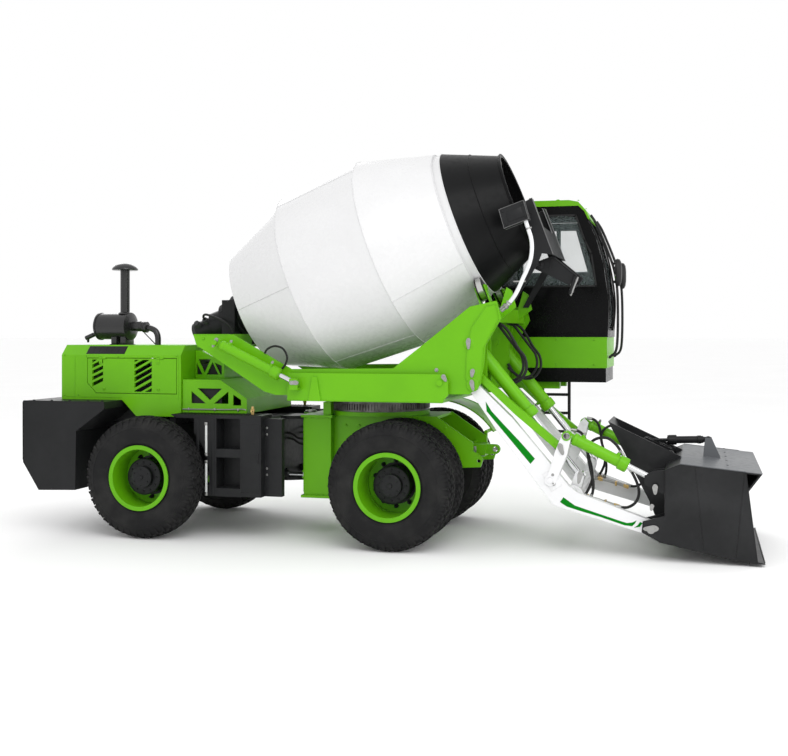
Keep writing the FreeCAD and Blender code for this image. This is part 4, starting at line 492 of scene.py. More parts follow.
for name, out, x, rows in (
    ("front_right_tyres", -1, 0, (800, 470)), ("front_left_tyres", 1, 0, (800, 470)),
    ("rear_right_tyre", -1, rear_axle, (768,)), ("rear_left_tyre", 1, rear_axle, (768,)),
):
    moulded = Shape()
    for y in rows:
        tyre(moulded, Vector((x, out * y, hub_height)))
    body = name.replace("_tyres", "_wheel").replace("_tyre", "_wheel")
    moulded.make(f"moulded_{name}", body, tread_rubber, "tyre", name, smooth=28)

# Wheels: pressed steel rims in green enamel, each bolted to a black planetary hub with twelve studs
# round its cover and ten wheel nuts on the disc.
hub_radius = 0.172
for name, x, out, disc in (
    ("front_right_wheel", 0, -1, 635), ("front_left_wheel", 0, 1, 635),
    ("rear_right_wheel", rear_axle, -1, 650), ("rear_left_wheel", rear_axle, 1, 650),
):
    centre = spot(x, 0, hub_height)
    painted = enamel(f"{name}_enamel", (0.12, 0.40, 0.004), (0.105, 0.36, 0.004), 0.3)
    across, up = painted.place("X") - centre.x, painted.place("Z") - centre.z
    painted.cover(painted.calc("SQRT", across * across + up * up) < hub_radius, black_tone)
    coat(painted, name)
    outward = Vector((0, out, 0))
    studs = Shape()
    for at in around((x, out * (disc + 7), hub_height), 188, 10, shift=0.5):
        studs.lathe([(0, 19), (12, 17)], at, outward, 16)
        studs.bolt(at + outward * 12, outward, 15.5, 20)
        studs.lathe([(30, 7.5), (46, 7.5), (48, 6)], at, outward, 10)
    studs.make(f"{name}_nuts", name, black, "black_paint")
    cover = Shape()
    end = Vector((x, out * (disc + 150), hub_height))
    cover.lathe([(-30, 150.2), (-12, 157), (-4, 157), (0, 153), (4, 140), (7, 100)], end, outward, 48)
    cover.lathe([(40, 95.1), (46, 93), (52, 82), (54, 50), (54, 0)], end, outward, 48)
    cover.lathe([(53, 22), (62, 22), (65, 19), (65, 0)], end, outward, 8)
    for at in around(end + outward * 4, 124, 12):
        cover.bolt(at, outward, 9.5, 10)
    for at in around(end + outward * 53, 70, 6, shift=0.5):
        cover.bolt(at, outward, 6, 6)
    cover.make(f"{name}_hub_cover", name, black, "black_paint")
    valve = Shape()
    valve.tube([(x, out * (disc + y), z) for y, z in ((30, 761), (60, 757), (90, 747))], 4, steps=8)
    valve.make(f"{name}_valve", name, zinc, "steel")

# Rear box: a folded steel box welded round the tail, painted black. It carries the rear lamps on brackets,
# a blank plate and two tie-down rings, and its lid is bolted along both sides.


def stern(node):
    """Where a CAD node ends at the back, in millimetres ahead of the front axle."""
    return (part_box(node)[0].x - axle.x) * 1000


back = stern("rear_box")
tail = Shape()
for side in (-1, 1):
    tail.block((back - 22, side * 640 - 120, 860), (back + 4, side * 640 + 120, 960), edge=8)
    for start, end in (((-3410, 640), (-3410, 1150)), ((-3400, 1163), (-2606, 1163)), ((-3247, 376), (-3408, 624))):
        tail.bead(beside(side * 801, start, end), 3)
    for x in (-3340, -3160, -2980, -2800, -2660):
        tail.bolt((x, side * 740, 1162), (0, 0, 1), 11)
    tail.block((-3423, side * 250 - 30, 670), (-3409, side * 250 + 30, 770), edge=4)
    tail.hoop(around((-3431, side * 250, 740), 45, 20, "zy"), 9)
tail.block((back - 12, -250, 800), (back + 2, 250, 940), edge=3)
tail.make("tail_fittings", "rear_frame", black, "black_paint")
for name, lens, colour, near, far in (
    ("stop_lamps", "red_lens", (0.42, 0.008, 0.008), 605, 745),
    ("turn_lamps", "amber_lens", (0.6, 0.16, 0.01), 535, 600),
):
    plastic = mottled(lens, 90, colour, tuple(c * 0.75 for c in colour), roughness=0.18)
    plastic.bump(plastic.calc("SINE", plastic.place("Z") * 900), strength=0.3, distance=0.001)
    lamp = Shape()
    for side in (-1, 1):
        lamp.block((back - 36, side * near, 872), (back - 18, side * far, 948), edge=6)
    lamp.make(name, "rear_frame", plastic, "black_paint")
blank = mottled("blank_plate", 6, (0.6, 0.6, 0.58), (0.5, 0.5, 0.49), 150, 0.05, 0.001, 0.002, roughness=0.4)
panel = Shape()
panel.block((back - 16, -220, 815), (back - 11, 220, 925), edge=2)
panel.make("blank_number_plate", "rear_frame", blank, "steel")

# Engine hood: folded green sheet with pressed seams and bolted edges, a blank black strip stuck on each
# shoulder and a slatted black grille in front of the radiator at the back.
seams = Shape()
for side in (-1, 1):
    for (x, z), (x_far, z_far) in (
        ((-3077, 1165), (-3073, 1560)), ((-2044, 1165), (-2040, 1560)), ((-3205, 1184), (-2603, 1188)),
    ):
        seams.block((x, side * 519.5, z), (x_far, side * 521.9, z_far))
    for x, z in ((-3180, 1562), (-2960, 1552), (-2640, 1552), (-2300, 1552), (-2060, 1562), (-3180, 1200),
                 (-3040, 1200)):
        seams.bolt((x, side * 520, z), (0, side, 0), 7, 4)
seams.make("hood_seams", "rear_frame", green, "green_paint")


def slope(side, along, out):
    """A place on the hood's shoulder: how far up the slope, from 0 to 1, and how far out from it."""
    return (side * (520 - 80 * along + 0.747 * out), 1565 + 90 * along + 0.664 * out)


strip = Shape()
labels = [(-2959 + i * 63, 56, 0.16, 0.8, 1) for i in range(6)]
for side in (-1, 1):
    for x, length, low, high, out in [(-2965, 385, 0.1, 0.86, 0)] + labels:
        corners = ((low, out), (high, out), (high, out + 1.5), (low, out + 1.5))
        strip.plate([slope(side, *corner) for corner in corners], "x", x, length)
strip.make("shoulder_strips", "rear_frame", black, "black_paint")
radiator = Shape()
rear = stern("engine_hood")
radiator.block((rear - 5, -400, 1200), (rear + 1, 400, 1560))
for z in range(1215, 1566, 27):
    radiator.block((rear - 20, -390, z), (rear - 4, 390, z + 6), turn=("Y", -28, (rear - 12, 0, z)))
for y in (-400, -7.5, 385):
    radiator.block((rear - 24, y, 1203), (rear - 2, y + 15, 1557), edge=2)
radiator.make("radiator_grille", "rear_frame", black, "black_paint")

# Hood doors: one louvred green door a side on leaf hinges along its upper edge, with two flush
# quarter-turn latches near the bottom.
hands = (("right", -1), ("left", 1))
for word, side in hands:
    latch = Shape()
    face = side * 519.8
    for x in (-2780, -2240):
        latch.lathe([(0, 14), (3, 14), (4, 12), (4, 0)], (x, face, 1262), (0, side, 0), 24)
        latch.block((x - 10, face + side * 3, 1260), (x + 10, face + side * 7, 1264), edge=1)
    latch.make(f"hood_{word}_latches", f"hood_{word}_door", green, "green_paint")
    leaves = Shape()
    for x in (-2830, -2260):
        leaves.block((x, face, 1485), (x + 33, face + side * 3, 1530), edge=1)
        leaves.bolt((x + 16, face + side * 3, 1500), (0, side, 0), 5, 3)
    leaves.make(f"hood_{word}_hinge_leaves", f"hood_{word}_door", green, "green_paint")

# Air cleaner: a gloss black canister with rolled end rims, bolted to the hood on two feet. An elbow runs down
# to the engine, a tall intake pipe ends under a domed rain cap, and a drain spout hangs from the back.
glossy = mottled("canister_black", 12, (0.010, 0.010, 0.0105), (0.017, 0.017, 0.0175), 300, 0.08, 0.0004,
                 roughness=0.24, specular_ior_level=0.5)
cleaner = Shape()
canister, ahead = (-2975, -300, 1824), (1, 0, 0)
cleaner.lathe([(0, 0), (0, 84), (6, 104), (16, 116), (20, 118), (22, 126.5), (36, 126.5), (38, 119.5), (316, 119.5),
               (318, 126.5), (334, 126.5), (336, 118), (348, 98), (355, 60), (355, 0)], canister, ahead, 72)
cleaner.lathe([(350, 42), (400, 42), (403, 47), (436, 47), (440, 42), (464, 42)], canister, ahead, 40)
cleaner.lathe([(0, 36), (0, 46), (6, 50), (18, 50), (21, 46), (26, 46), (29, 50), (40, 50), (45, 44), (45, 26)],
              (-2515, -300, 1816), ahead, 40)
cleaner.tube(beside(-300, (-2475, 1810), (-2438, 1805), (-2398, 1786), (-2376, 1754), (-2368, 1712),
                    (-2368, 1655)), 26.5, steps=24)
cleaner.bar(beside(-300, (-2505, 1765), (-2395, 1662)), 5)
cleaner.lathe([(0, 62), (12, 56), (20, 41.5), (410, 41.5)], (-2702, -300, 1936), (0, 0, 1), 40)
cleaner.lathe([(0, 38), (0, 110), (5, 115.5), (12, 115.5), (28, 105), (45, 85), (58, 58), (66, 28), (69, 0)],
              (-2702, -300, 2338), (0, 0, 1), 56)
cleaner.lathe([(0, 21), (85, 21), (90, 16), (150, 16)], (-3078, -340, 1716), (118, 0, 48), 20)
cleaner.lathe([(0, 13.5), (30, 9)], (-3058, -340, 1706), (0, 0, -1), 12)
for x in (-2775, -2680):
    cleaner.block((x - 35, -385, 1655.5), (x + 35, -215, 1662), edge=2)
    cleaner.block((x - 28, -372, 1660), (x + 28, -228, 1730), edge=6)
    for y in (-380, -220):
        cleaner.bolt((x, y, 1662), (0, 0, 1), 6)
cleaner.make("strapped_air_cleaner", "rear_frame", glossy, "black_paint", "air_cleaner")

# Truss guards: green lattice guards ahead of the hood, cut from plate, with a black bulkhead behind them
# and a plated air line tied along the lower chord.
guard = Shape()
lines = Shape()
for side in (-1, 1):
    guard.block((-2008, side * 470 - 4, 1066), (-1650, side * 470 + 4, 1345))
    guard.block((-2000, side * 238 - 4, 1368), (-1750, side * 238 + 4, 1480))
    lines.tube([(x, side * y, z) for x, y, z in (
        (-2010, 506, 1090), (-1700, 508, 1092), (-1560, 508, 1094), (-1440, 506, 1098), (-1408, 498, 1090))],
        6, steps=8)
    for x in (-1950, -1700, -1480):
        lines.block((x - 8, side * 506 - 9, 1080), (x + 8, side * 506 + 9, 1104), edge=3)
guard.make("bulkhead_panels", "rear_frame", rubber, "black_paint")
lines.make("air_lines", "rear_frame", zinc, "steel")

# Side tanks: black steel tanks under stepped decks, with bolted straps, ribbed treads on the steps,
# a filler cap and a drain valve, and two sight gauges on the outer face.
fitted = Shape()
for side in (-1, 1):
    for x in (-1765, -1625):
        fitted.block((x - 14, side * 700 - 3, 372), (x + 14, side * 700 + 3, 1026), edge=1)
    for z, near, far, start, end in (
        (436, 584.5, 659.5, -1788, -1602), (771, 584.5, 659.5, -1788, -1602), (1060, 485, 685, -1990, -1215),
    ):
        for x in range(start, end, 31):
            fitted.block((x, side * near, z - 1), (x + 10, side * far, z + 3), edge=1)
cap = Vector((-1900, 610, 1060))
fitted.lathe([(0, 46), (12, 46), (14, 56), (50, 56), (56, 50), (58, 0)], cap, (0, 0, 1), 28)
for i in range(14):
    fitted.block(cap + Vector((54, -4, 18)), cap + Vector((59, 4, 46)), turn=("Z", 360 * i / 14, cap))
for side in (-1, 1):
    for x in (-1360, -1190):
        fitted.block((x - 3, side * 545 - 4, 400), (x + 3, side * 545 + 4, 1010))
    fitted.block((-1360, side * 700 - 2.5, 405), (-1190, side * 700 + 2.5, 985), edge=2)
    fitted.block((-1215, side * 700 - 10, 660), (-1200, side * 700 + 10, 740), edge=3)
fitted.make("tank_fittings", "rear_frame", black, "black_paint")
plated = Shape()
for side in (-1, 1):
    for z in (552, 606, 896, 952):
        plated.bolt((-1160, side * 620, z), (0, side, 0), 9)
    for z in (381, 660, 720, 985):
        plated.block((-1696, side * 706 - 7, z - 13), (-1668, side * 706 + 7, z + 13), edge=4)
        plated.bolt((-1682, side * 712, z), (0, side, 0), 7)
plated.make("tank_bolts", "rear_frame", zinc, "steel")
sight = mottled("sight_glass", 20, (0.7, 0.71, 0.71), (0.5, 0.52, 0.5), roughness=0.12)
brass = metal("brass_fitting", (0.72, 0.5, 0.2), 0.3)
gauges = Shape()
valve = Shape()
for side in (-1, 1):
    for low, high in ((394, 647), (733, 972)):
        gauges.block((-1692, side * 705 - 6, low), (-1672, side * 705 + 6, high), edge=5)
    valve.lathe([(0, 14), (30, 14), (30, 19), (46, 19), (50, 12), (70, 12)], (-1300, side * 600, 1060), (0, 0, 1), 6)
    valve.lathe([(-20, 8), (30, 8)], (-1300, side * 600, 1090), (0, side, 0), 12)
gauges.make("sight_gauges", "rear_frame", sight, "white_rubber")
valve.make("deck_valves", "rear_frame", brass, "steel")

# Front frame fittings: the mudguard's stay bolts and edges in the chassis green, and the tow eye's
# plated bolts, plates and weld beads.


def way(degrees):
    """A direction in the side view, turned up from straight ahead."""
    return Vector((math.cos(math.radians(degrees)), 0, math.sin(math.radians(degrees))))


stays = Shape()
for y in (470, 690, 905):
    for degrees in (48, 90):
        stays.bolt(Vector((60, y, 495)) + way(degrees) * 654, way(degrees), 8)
for y in (445, 930):
    stays.bar([Vector((60, y, 495)) + way(degrees) * 653 for degrees in range(34, 104, 3)], 5)
stays.make("mudguard_edges", "front_frame", green, "green_paint")
tow = Shape()
for side in (-1, 1):
    tow.bead(beside(side * 100, (484, 702), (628, 702)))
    tow.bolt((705, side * 44, 753), (0, side, 0), 14)
    tow.block((492, side * 101, 716), (556, side * 104, 784), edge=1)
tow.make("tow_eye_fixings", "front_frame", zinc, "steel")

# Slewing ring: a machined bearing with a toothed outer ring, bolted to the frame below and to the
# turntable above, its teeth greased dark.
greased = Finish("greased_steel", roughness=0.36, metallic=0.75)
smear = greased.ramp(greased.grain(14, detail=5), 0.4, 0.7)
greased.set(base_color=greased.blend(smear, (0.16, 0.155, 0.15), (0.05, 0.046, 0.04)))
greased.bump(greased.grain(90), strength=0.15, edge=0.002)
coat(greased, "slew_ring")
teeth = Shape()
heart = Vector((-340, 0, 1120))
for i in range(104):
    tooth = teeth.block(heart + Vector((428, -5.5, -20)), heart + Vector((441, 5.5, 34)))
    for vert in tooth:
        if vert.co.x > heart.x + 436:
            vert.co.y *= 0.5
    teeth.turn(tooth, "Z", 360 * i / 104, heart)
for at in around((-340, 0, 1086), 405, 36, "xy", 0.5):
    teeth.bolt(at, (0, 0, -1), 11)
teeth.make("slew_ring_teeth", "front_frame", greased, "steel")

# Turntable: a green plate deck with side beams, a cab post and tilt lugs, welded up and bolted to the
# slewing ring through its middle. Flange bolts, weld beads and plated pin keepers show.
deck = Shape()
for side in (-1, 1):
    deck.bead(beside(side * 777, (-905, 1201), (425, 1201)))
    for x in (-760, -560, -120, 100, 300):
        deck.block((x - 6, side * 741 - 12, 1228), (x + 6, side * 741 + 12, 1400))
    deck.bead(beside(side * 700, (-860, 1227), (-760, 1227)), 5)
for at in around((-340, 0, 1226), 372, 30, "xy"):
    deck.bolt(at, (0, 0, 1))
for x, z in ((340, 1300), (340, 1600), (450, 1300), (450, 1600)):
    deck.bead([(x, 757, z), (x, 1490, z)], 3)
deck.make("deck_fixings", "turntable", green, "green_paint")

# Driver's cab: a welded black shell over a green skirt and under a green roof. Rubber seals hold the panes,
# a wiper sweeps the curved windscreen, and air louvres are pressed into the right panel.


def gasket(shape, corners, axis, level, out):
    """A rubber seal round a window: a closed band along its corners, proud of the panel."""
    half, proud, flat = 8, 5, "xyz".index(axis)
    low = min(level, level + out * proud)
    for a, b in zip(corners, corners[1:] + corners[:1]):
        run = Vector(b) - Vector(a)
        off = Vector((-run.y, run.x)).normalized() * half
        band = (Vector(a) - off, Vector(b) - off, Vector(b) + off, Vector(a) + off)
        shape.plate(band, axis, low, proud)
        along = [int(letter == axis) for letter in "xyz"]
        shape.lathe([(0, half), (proud, half)], (*a[:flat], low, *a[flat:]), along, 12)


cab_black = enamel("cab_black", (0.002, 0.0021, 0.0023), (0.0035, 0.0036, 0.0039), 0.22, 0.03, shine=0.09)
coat(cab_black, "cab_frame cab_door cab_floor")
seal = Shape()
side_glass = [(560, 2200), (1500, 2200), (1455, 2500), (1395, 2620), (1310, 2860), (560, 2860)]
gasket(seal, side_glass, "y", 780, -1)
gasket(seal, [(880, 2200), (1460, 2200), (1460, 2860), (880, 2860)], "x", 450, -1)
bow = [(1604, 1800), (1617, 2080), (1574, 2390), (1499, 2660), (1413, 2835)]
for y in (850, 1490):
    seal.tube(beside(y, *bow), 9, steps=8)
for x, z in (bow[0], bow[-1]):
    seal.bar([(x, 850, z), (x, 1490, z)], 9)
seal.make("cab_window_seals", "turntable", rubber, "tyre")
trim = Shape()
trim.tube([(1612, 1170, 1810), (1630, 1080, 2000), (1612, 1000, 2250)], 6, steps=8)
trim.tube([(1627, 1040, 2020), (1612, 975, 2300), (1574, 930, 2470)], 7, steps=6)
trim.lathe([(0, 22), (30, 20)], (1598, 1170, 1808), (1, 0, 0), 16)
for z in (1745, 1765):
    trim.block((470, 772, z), (1590, 781, z + 6), edge=1)
for z in range(1830, 2000, 34):
    trim.block((520, 774, z), (700, 781, z + 12), edge=2)
trim.make("cab_trim", "turntable", cab_black, "black_paint")
roof = Shape()
roof.block((600, 880, 2999), (1250, 1450, 3002.5), edge=1)
for x in (520, 1330):
    for y in (830, 1500):
        roof.bolt((x, y, 3001), (0, 0, 1), 9, 5)
roof.lathe([(0, 20), (12, 20), (16, 12)], (470, 800, 2980), (0, -1, 0), 16)
for x in (470, 800, 1130, 1480):
    for z in (1700, 1470):
        roof.bolt((x, 780, z), (0, -1, 0), 8, 4)
roof.lathe([(0, 20), (6, 20), (8, 8)], (1093, 1170, 3001), (0, 0, 1), 20)
roof.hoop(around((1093, 1170, 3032), 24, 18), 6, 8)
roof.make("cab_panel_bolts", "turntable", green, "green_paint")

# Panes: clear laminated safety glass, faintly green, glued into the shell and the door.
# A thin film of dust makes each a little less clear in patches.
pane = mottled("safety_glass", 0.8, (0.30, 0.37, 0.36), (0.24, 0.3, 0.3), 1.2, 0.03, 0.002, roughness=0.03)
pane.set(alpha=0.11 + pane.ramp(pane.grain(1.6), 0.35, 0.75) * 0.05)
coat(pane, "cab_glass cab_door_glass")

# Driver's station: a sprung seat with sewn cloth cushions on a black pedestal, a moulded console with a
# round steering wheel and gauges, and two control levers beside the seat.
cloth = Finish("seat_cloth", roughness=0.92)
thread = 2600
weave = cloth.calc("SINE", cloth.place("Y") * thread) * cloth.calc(
    "SINE", (cloth.place("X") + cloth.place("Z")) * thread)
cloth.set(base_color=cloth.blend(cloth.ramp(cloth.grain(5), 0.4, 0.7), (0.03, 0.031, 0.034), (0.055, 0.057, 0.062)))
cloth.bump(weave + cloth.grain(700), strength=0.35, distance=0.0008)
plastic = mottled("console_plastic", 8, (0.02, 0.02, 0.022), (0.032, 0.032, 0.034), 900, 0.3, 0.0005, 0.008,
                  roughness=0.55, specular_ior_level=0.25)


def pad(name, low, high, axis):
    """A sewn cushion: a boxed pad crowned in its middle, its long channels drawn in by stitching."""
    made = Shape()
    bmesh.ops.create_cube(made.mesh, size=1.0)
    bmesh.ops.subdivide_edges(made.mesh, edges=made.mesh.edges[:], cuts=21, use_grid_fill=True)
    swell = [0.3 if k == axis else 0 for k in range(3)]
    for vert in made.mesh.verts:
        across = [math.copysign(abs(c * 2) ** 0.8, c) for c in vert.co]
        shrink = 1 - 0.05 * (sum(abs(c) ** 6 for c in across) - 1)
        where = [c * shrink for c in across]
        if abs(across[axis]) > 0.9:
            crown = math.prod(math.cos(across[k] * math.pi / 2 * 0.92) for k in range(3) if k != axis)
            groove = sum(math.exp(-((across[1] - c) / 0.05) ** 2) for c in (-0.45, 0, 0.45))
            where[axis] += math.copysign(0.3 * crown - 0.16 * groove * (crown > 0.02), across[axis])
        vert.co = [low[k] + (where[k] / (2 + 2 * swell[k]) + 0.5) * (high[k] - low[k]) for k in range(3)]
    thing = made.make(name, "turntable", cloth, "seat_fabric", smooth=60)
    soft = thing.modifiers.new("soft", "SUBSURF")
    soft.levels = soft.render_levels = 1
    return thing


cushion = pad("seat_cushion", (640, 960, 1760), (1090, 1400, 1860), 2)
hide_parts("driver_station")
backrest = pad("seat_backrest", (562, 980, 1850), (672, 1380, 2478), 0)
place = Shape()
for low, high, edge in (
    ((730, 1040, 1438.5), (1000, 1320, 1500), 10), ((700, 1000, 1712), (1040, 1360, 1762), 12),
    ((1380, 1020, 1439), (1550, 1340, 1850), 20),
    *(((745, 1055, z), (985, 1305, z + 25), 12) for z in range(1505, 1700, 34)),
):
    place.block(low, high, edge)
top = place.block((1375, 1010, 1850), (1550, 1350, 1995))
for vert in top:
    if vert.co.x < 1460 and vert.co.z > 1900:
        vert.co.z -= 70
place.round(top, 15)
place.tube(beside(1180, (1420, 1940), (1370, 2010), (1302, 2090)), 26, steps=16)
place.hoop(around((1290, 1180, 2095), 178, 40, "xy"), 14.5)
for end in around((1290, 1180, 2095), 172, 3, "xy"):
    place.bar([(1290, 1180, 2092), end], 11)
place.lathe([(0, 50), (18, 45), (24, 30), (24, 0)], (1290, 1180, 2085), (0, 0, 1), 24)
for y in (1010, 1350):
    place.tube(beside(y, (1060, 1740), (1075, 1900), (1095, 2010)), 7, steps=8)
    place.lathe([(-20, 8), (0, 20), (20, 20), (34, 6)], (1096, y, 2010), (0.12, 0, 1), 16)
place.make("driver_console", "turntable", plastic, "black_paint")
dials = mottled("dial_faces", 30, (0.7, 0.71, 0.7), (0.55, 0.56, 0.56), 200, 0.05, 0.0005, roughness=0.3)
gauge = Shape()
for y in (1080, 1140, 1220, 1280):
    gauge.lathe([(0, 22), (4, 22), (6, 19), (6, 0)], (1418, y, 1946), (-0.6, 0, 0.8), 24)
gauge.make("console_dials", "turntable", dials, "glass")

# Cab door: a black panel on three leaf hinges, with its own seals, a long grab handle, a recessed
# latch and a pressed lower panel.
door = Shape()
gasket(door, [(680, 2366), (1034, 2366), (1034, 2800), (680, 2800)], "y", 1560, 1)
gasket(door, [(1061, 2366), (1348, 2371), (1228, 2800), (1061, 2800)], "y", 1560, 1)
door.make("door_window_seals", "cab_door", rubber, "tyre")
pressed = Shape()
for low, high, edge in (
    ((680, 1559, 1580), (1420, 1563, 2050), 1), ((720, 1562, 1620), (1380, 1566, 2010), 1),
    ((1330, 1559, 2130), (1450, 1566, 2230), 4), ((1345, 1564, 2165), (1435, 1580, 2190), 6),
    ((1000, 1516, 2150), (1400, 1522, 2200), 4),
):
    pressed.block(low, high, edge)
pressed.tube([(1440, 1560, 1800), (1440, 1590, 1820), (1440, 1590, 2060), (1440, 1560, 2080)], 10, steps=10)
pressed.make("door_fittings", "cab_door", cab_black, "black_paint")

# Mirrors, ladder and grab rails: bent black tube, with oval moulded mirror housings, ribbed rung treads,
# and silvered glass facing back.
moulding = mottled("moulded_black", 12, (0.011, 0.011, 0.0115), (0.018, 0.018, 0.0185), 500, 0.12, 0.0005, 0.006,
                   roughness=0.42, specular_ior_level=0.25)
silvered = mottled("mirror_glass", 3, (0.82, 0.83, 0.84), (0.74, 0.75, 0.76), 2, 0.02, 0.001, metallic=1.0,
                   roughness=0.04)


def oval(shape, profile, x, y):
    """A turned part that faces along the machine, squeezed to half its width."""
    before = set(shape.mesh.verts)
    shape.lathe(profile, (x, y, 2325), (1, 0, 0), 40)
    for vert in set(shape.mesh.verts) - before:
        vert.co.y = y + (vert.co.y - y) * 0.49


grip = Shape()
for x in (890, 1157):
    grip.lathe([(0, 13), (3, 16), (555.7, 16)], (x, 1535, 750), (0, 0, 1), 18)
    grip.bolt((x, 1551, 1280), (0, 1, 0), 9, 6)
for z in (775, 960, 1145):
    grip.lathe([(0, 14.5), (267, 14.5)], (890, 1535, z), (1, 0, 0), 16)
    for x in range(905, 1147, 22):
        grip.lathe([(0, 14.5), (4, 16), (8, 14.5)], (x, 1535, z), (1, 0, 0), 14)
mirror = Shape()
for y in (885, 1455):
    grip.tube(beside(y, (1440, 2868), (1500, 2765), (1608, 2500), (1668, 2300), (1690, 2050), (1682, 1640),
                     (1625, 1545), (1606, 1540)), 12.5, steps=14, smooth=8)
    oval(grip, [(0, 0), (0, 115), (6, 126), (20, 130), (40, 122), (52, 100), (58, 60), (59, 0)], 1669, y)
    for z in (2240, 2410):
        grip.lathe([(-12, 17), (12, 17)], (1668, y, z), (0, 0, 1), 16)
    oval(mirror, [(0, 0), (0, 108), (3, 110)], 1666, y)
grip.make("ladder_and_mirrors", "turntable", moulding, "black_paint", "cab_rails")
mirror.make("mirror_panes", "turntable", silvered, "glass")

# Drum frame: two deep side plates with a doubler at the head, a head beam for the rollers, roller cheeks
# and cylinder mounts, all welded and painted green. Plated keepers hold every pin.


def keeper(shape, side, x, y, z, angle, half=34, across=20):
    """A plated pin keeper: a pear-shaped plate with two bolts, lying against a side plate."""
    turn, thick = math.radians(angle), 7

    def turned(u, v=0.0):
        return (x + u * math.cos(turn) - v * math.sin(turn), z + u * math.sin(turn) + v * math.cos(turn))

    corners = []
    for a in (2 * math.pi * i / 20 for i in range(20)):
        wide = across * (1.0 if math.cos(a) > 0 else 0.72)
        corners.append(turned(half * (math.cos(a) + math.copysign(0.35, math.cos(a))), wide * math.sin(a)))
    shape.plate(corners, "y", side * y, side * thick)
    for u in (-half * 0.75, half * 0.75):
        shape.bolt(beside(side * (y + thick), turned(u))[0], (0, side, 0), 9)


doubler = [(640, 1335), (706, 1356), (728, 1392), (738, 1500), (748, 1640), (872, 1875), (846, 1990), (770, 1972),
           (650, 1800), (612, 1600), (604, 1400)]
weld = Shape()
keepers = Shape()
lower = Shape()
for side in (-1, 1):
    face, outward = side * 720, (0, side, 0)
    weld.plate(doubler, "y", face, side * 6)
    weld.bead(beside(side * 726, *doubler, doubler[0]), 3.5)
    weld.bead(beside(face, (-1795, 1748), (-1475, 1748)), 3)
    for x, y, z in ((-1700, 720, 1715), (-1560, 720, 1640), (520, 586, 1400), (520, 586, 1520)):
        weld.bolt((x, side * y, z), outward)
    weld.bead(beside(side * 699, (650, 1852), (838, 1852)))
    for x, z, radius, steps in ((660, 1343, 52, 32), (660, 1440, 36, 28), (628, 1676, 42, 28)):
        weld.lathe([(-14, radius), (6, radius), (10, radius - 4)], (x, face, z), outward, steps)
    keeper(keepers, side, 660, 731, 1343, 100)
    keeper(keepers, side, 660, 731, 1440, 80, half=26)
    keeper(keepers, side, 628, 731, 1676, 90)
    keeper(keepers, side, -1530, 845, 1682, 60)
    keepers.lathe([(0, 24), (6, 24)], (401, side * 776, 1359), outward, 28)
    keeper(keepers, side, 440, 777, 1400, 120, half=24)
    keepers.bolt((360, side * 721, 1462), outward, 14)
    keeper(lower, side, -815, 859, 1352, 0, half=30)
    lower.lathe([(0, 18), (10, 18), (12, 14)], (-835, side * 859, 1352), outward, 20)
weld.make("drum_frame_doublers", "drum_frame", green, "green_paint")
keepers.make("pin_keepers", "drum_frame", zinc, "steel")
lower.make("tilt_lug_keepers", "turntable", zinc, "steel")
for word, side in hands:
    hose(f"{word}_tail_hose", "drum_frame", beside(
        side * 736, (-1130, 1590), (-1100, 1630), (-1035, 1652), (-965, 1630), (-928, 1565), (-940, 1505),
        (-972, 1462)), 9)

# Rollers: two turned steel rollers on the head beam carry the drum's ring. Each has a dark worn track
# beside its bright face, where the ring does not bear.
drum_along, drum_up = way(20.23), way(110.23)
for word, side in hands:
    rolling = metal(f"{word}_roller_steel", (0.62, 0.62, 0.6), 0.24)
    ahead = (rolling.place("X") - spot(662, 0, 0).x) * drum_along.x
    rolling.cover(ahead + (rolling.place("Z") - 2.127) * drum_along.z < -0.015, (0.045, 0.043, 0.04))
    coat(rolling, f"{word}_drum_roller")

# Drum: rolled and welded steel cones painted gloss white. Weld seams ring it where the cones meet and
# run along it, a steel band stands where the rollers bear, and a round hatch is bolted on one side.
shell_white = enamel("drum_white", (0.70, 0.70, 0.705), (0.67, 0.67, 0.675), 0.24, edge=0.006, shine=0.25)
coat(shell_white, "drum_shell")


def on_drum(far, radius, degrees=0.0):
    """A place on the drum: how far along its axle, how far out, and the turn about it."""
    a = math.radians(degrees)
    out = drum_up * math.cos(a) + Vector((0, 1, 0)) * math.sin(a)
    return Vector((-189, 0, 2477)) + drum_along * far + out * radius


def band(shape, far, radius, thick, step=4, steps=6):
    """A bead right round the drum."""
    shape.hoop([on_drum(far, radius, degrees) for degrees in range(0, 360, step)], thick, steps)


line = [(-1368, 568), (-759, 825), (0, 858), (640, 664)]
seams = Shape()
for far, radius, thick in ((-759, 825.5, 4.2), (0, 858.5, 4.2), (641, 662, 5), (706, 643, 5)):
    band(seams, far, radius, thick)
for (a, low), (b, high), turns in zip(line, line[1:], ((25, 145, 265), (85, 205, 325), (40, 130, 235))):
    for degrees in turns:
        seams.bead([on_drum(a + (b - a) * t / 8, low + (high - low) * t / 8 + 0.6, degrees) for t in range(9)], 3.2)
seams.make("drum_seams", "drum", shell_white, "white_paint")
ports = Shape()
hatch = on_drum(-330, 838, 104)
out = ((hatch - on_drum(-330, 0)).normalized() - drum_along * 0.045).normalized()
ports.lathe([(-10, 200), (12, 200), (16, 190), (16, 0)], hatch, out, 40)
across = out.cross(drum_along).normalized()
for i in range(12):
    a = 2 * math.pi * i / 12
    ports.bolt(hatch + (across * math.cos(a) + drum_along * math.sin(a)) * 176 + out * 15, out, 11, 9)
ports.make("drum_hatches", "drum", shell_white, "white_paint")
flange = Shape()
for i in range(16):
    flange.bolt(on_drum(-1396, 128, 22.5 * i), -drum_along)
flange.make("drum_flange_bolts", "drum", zinc, "steel")

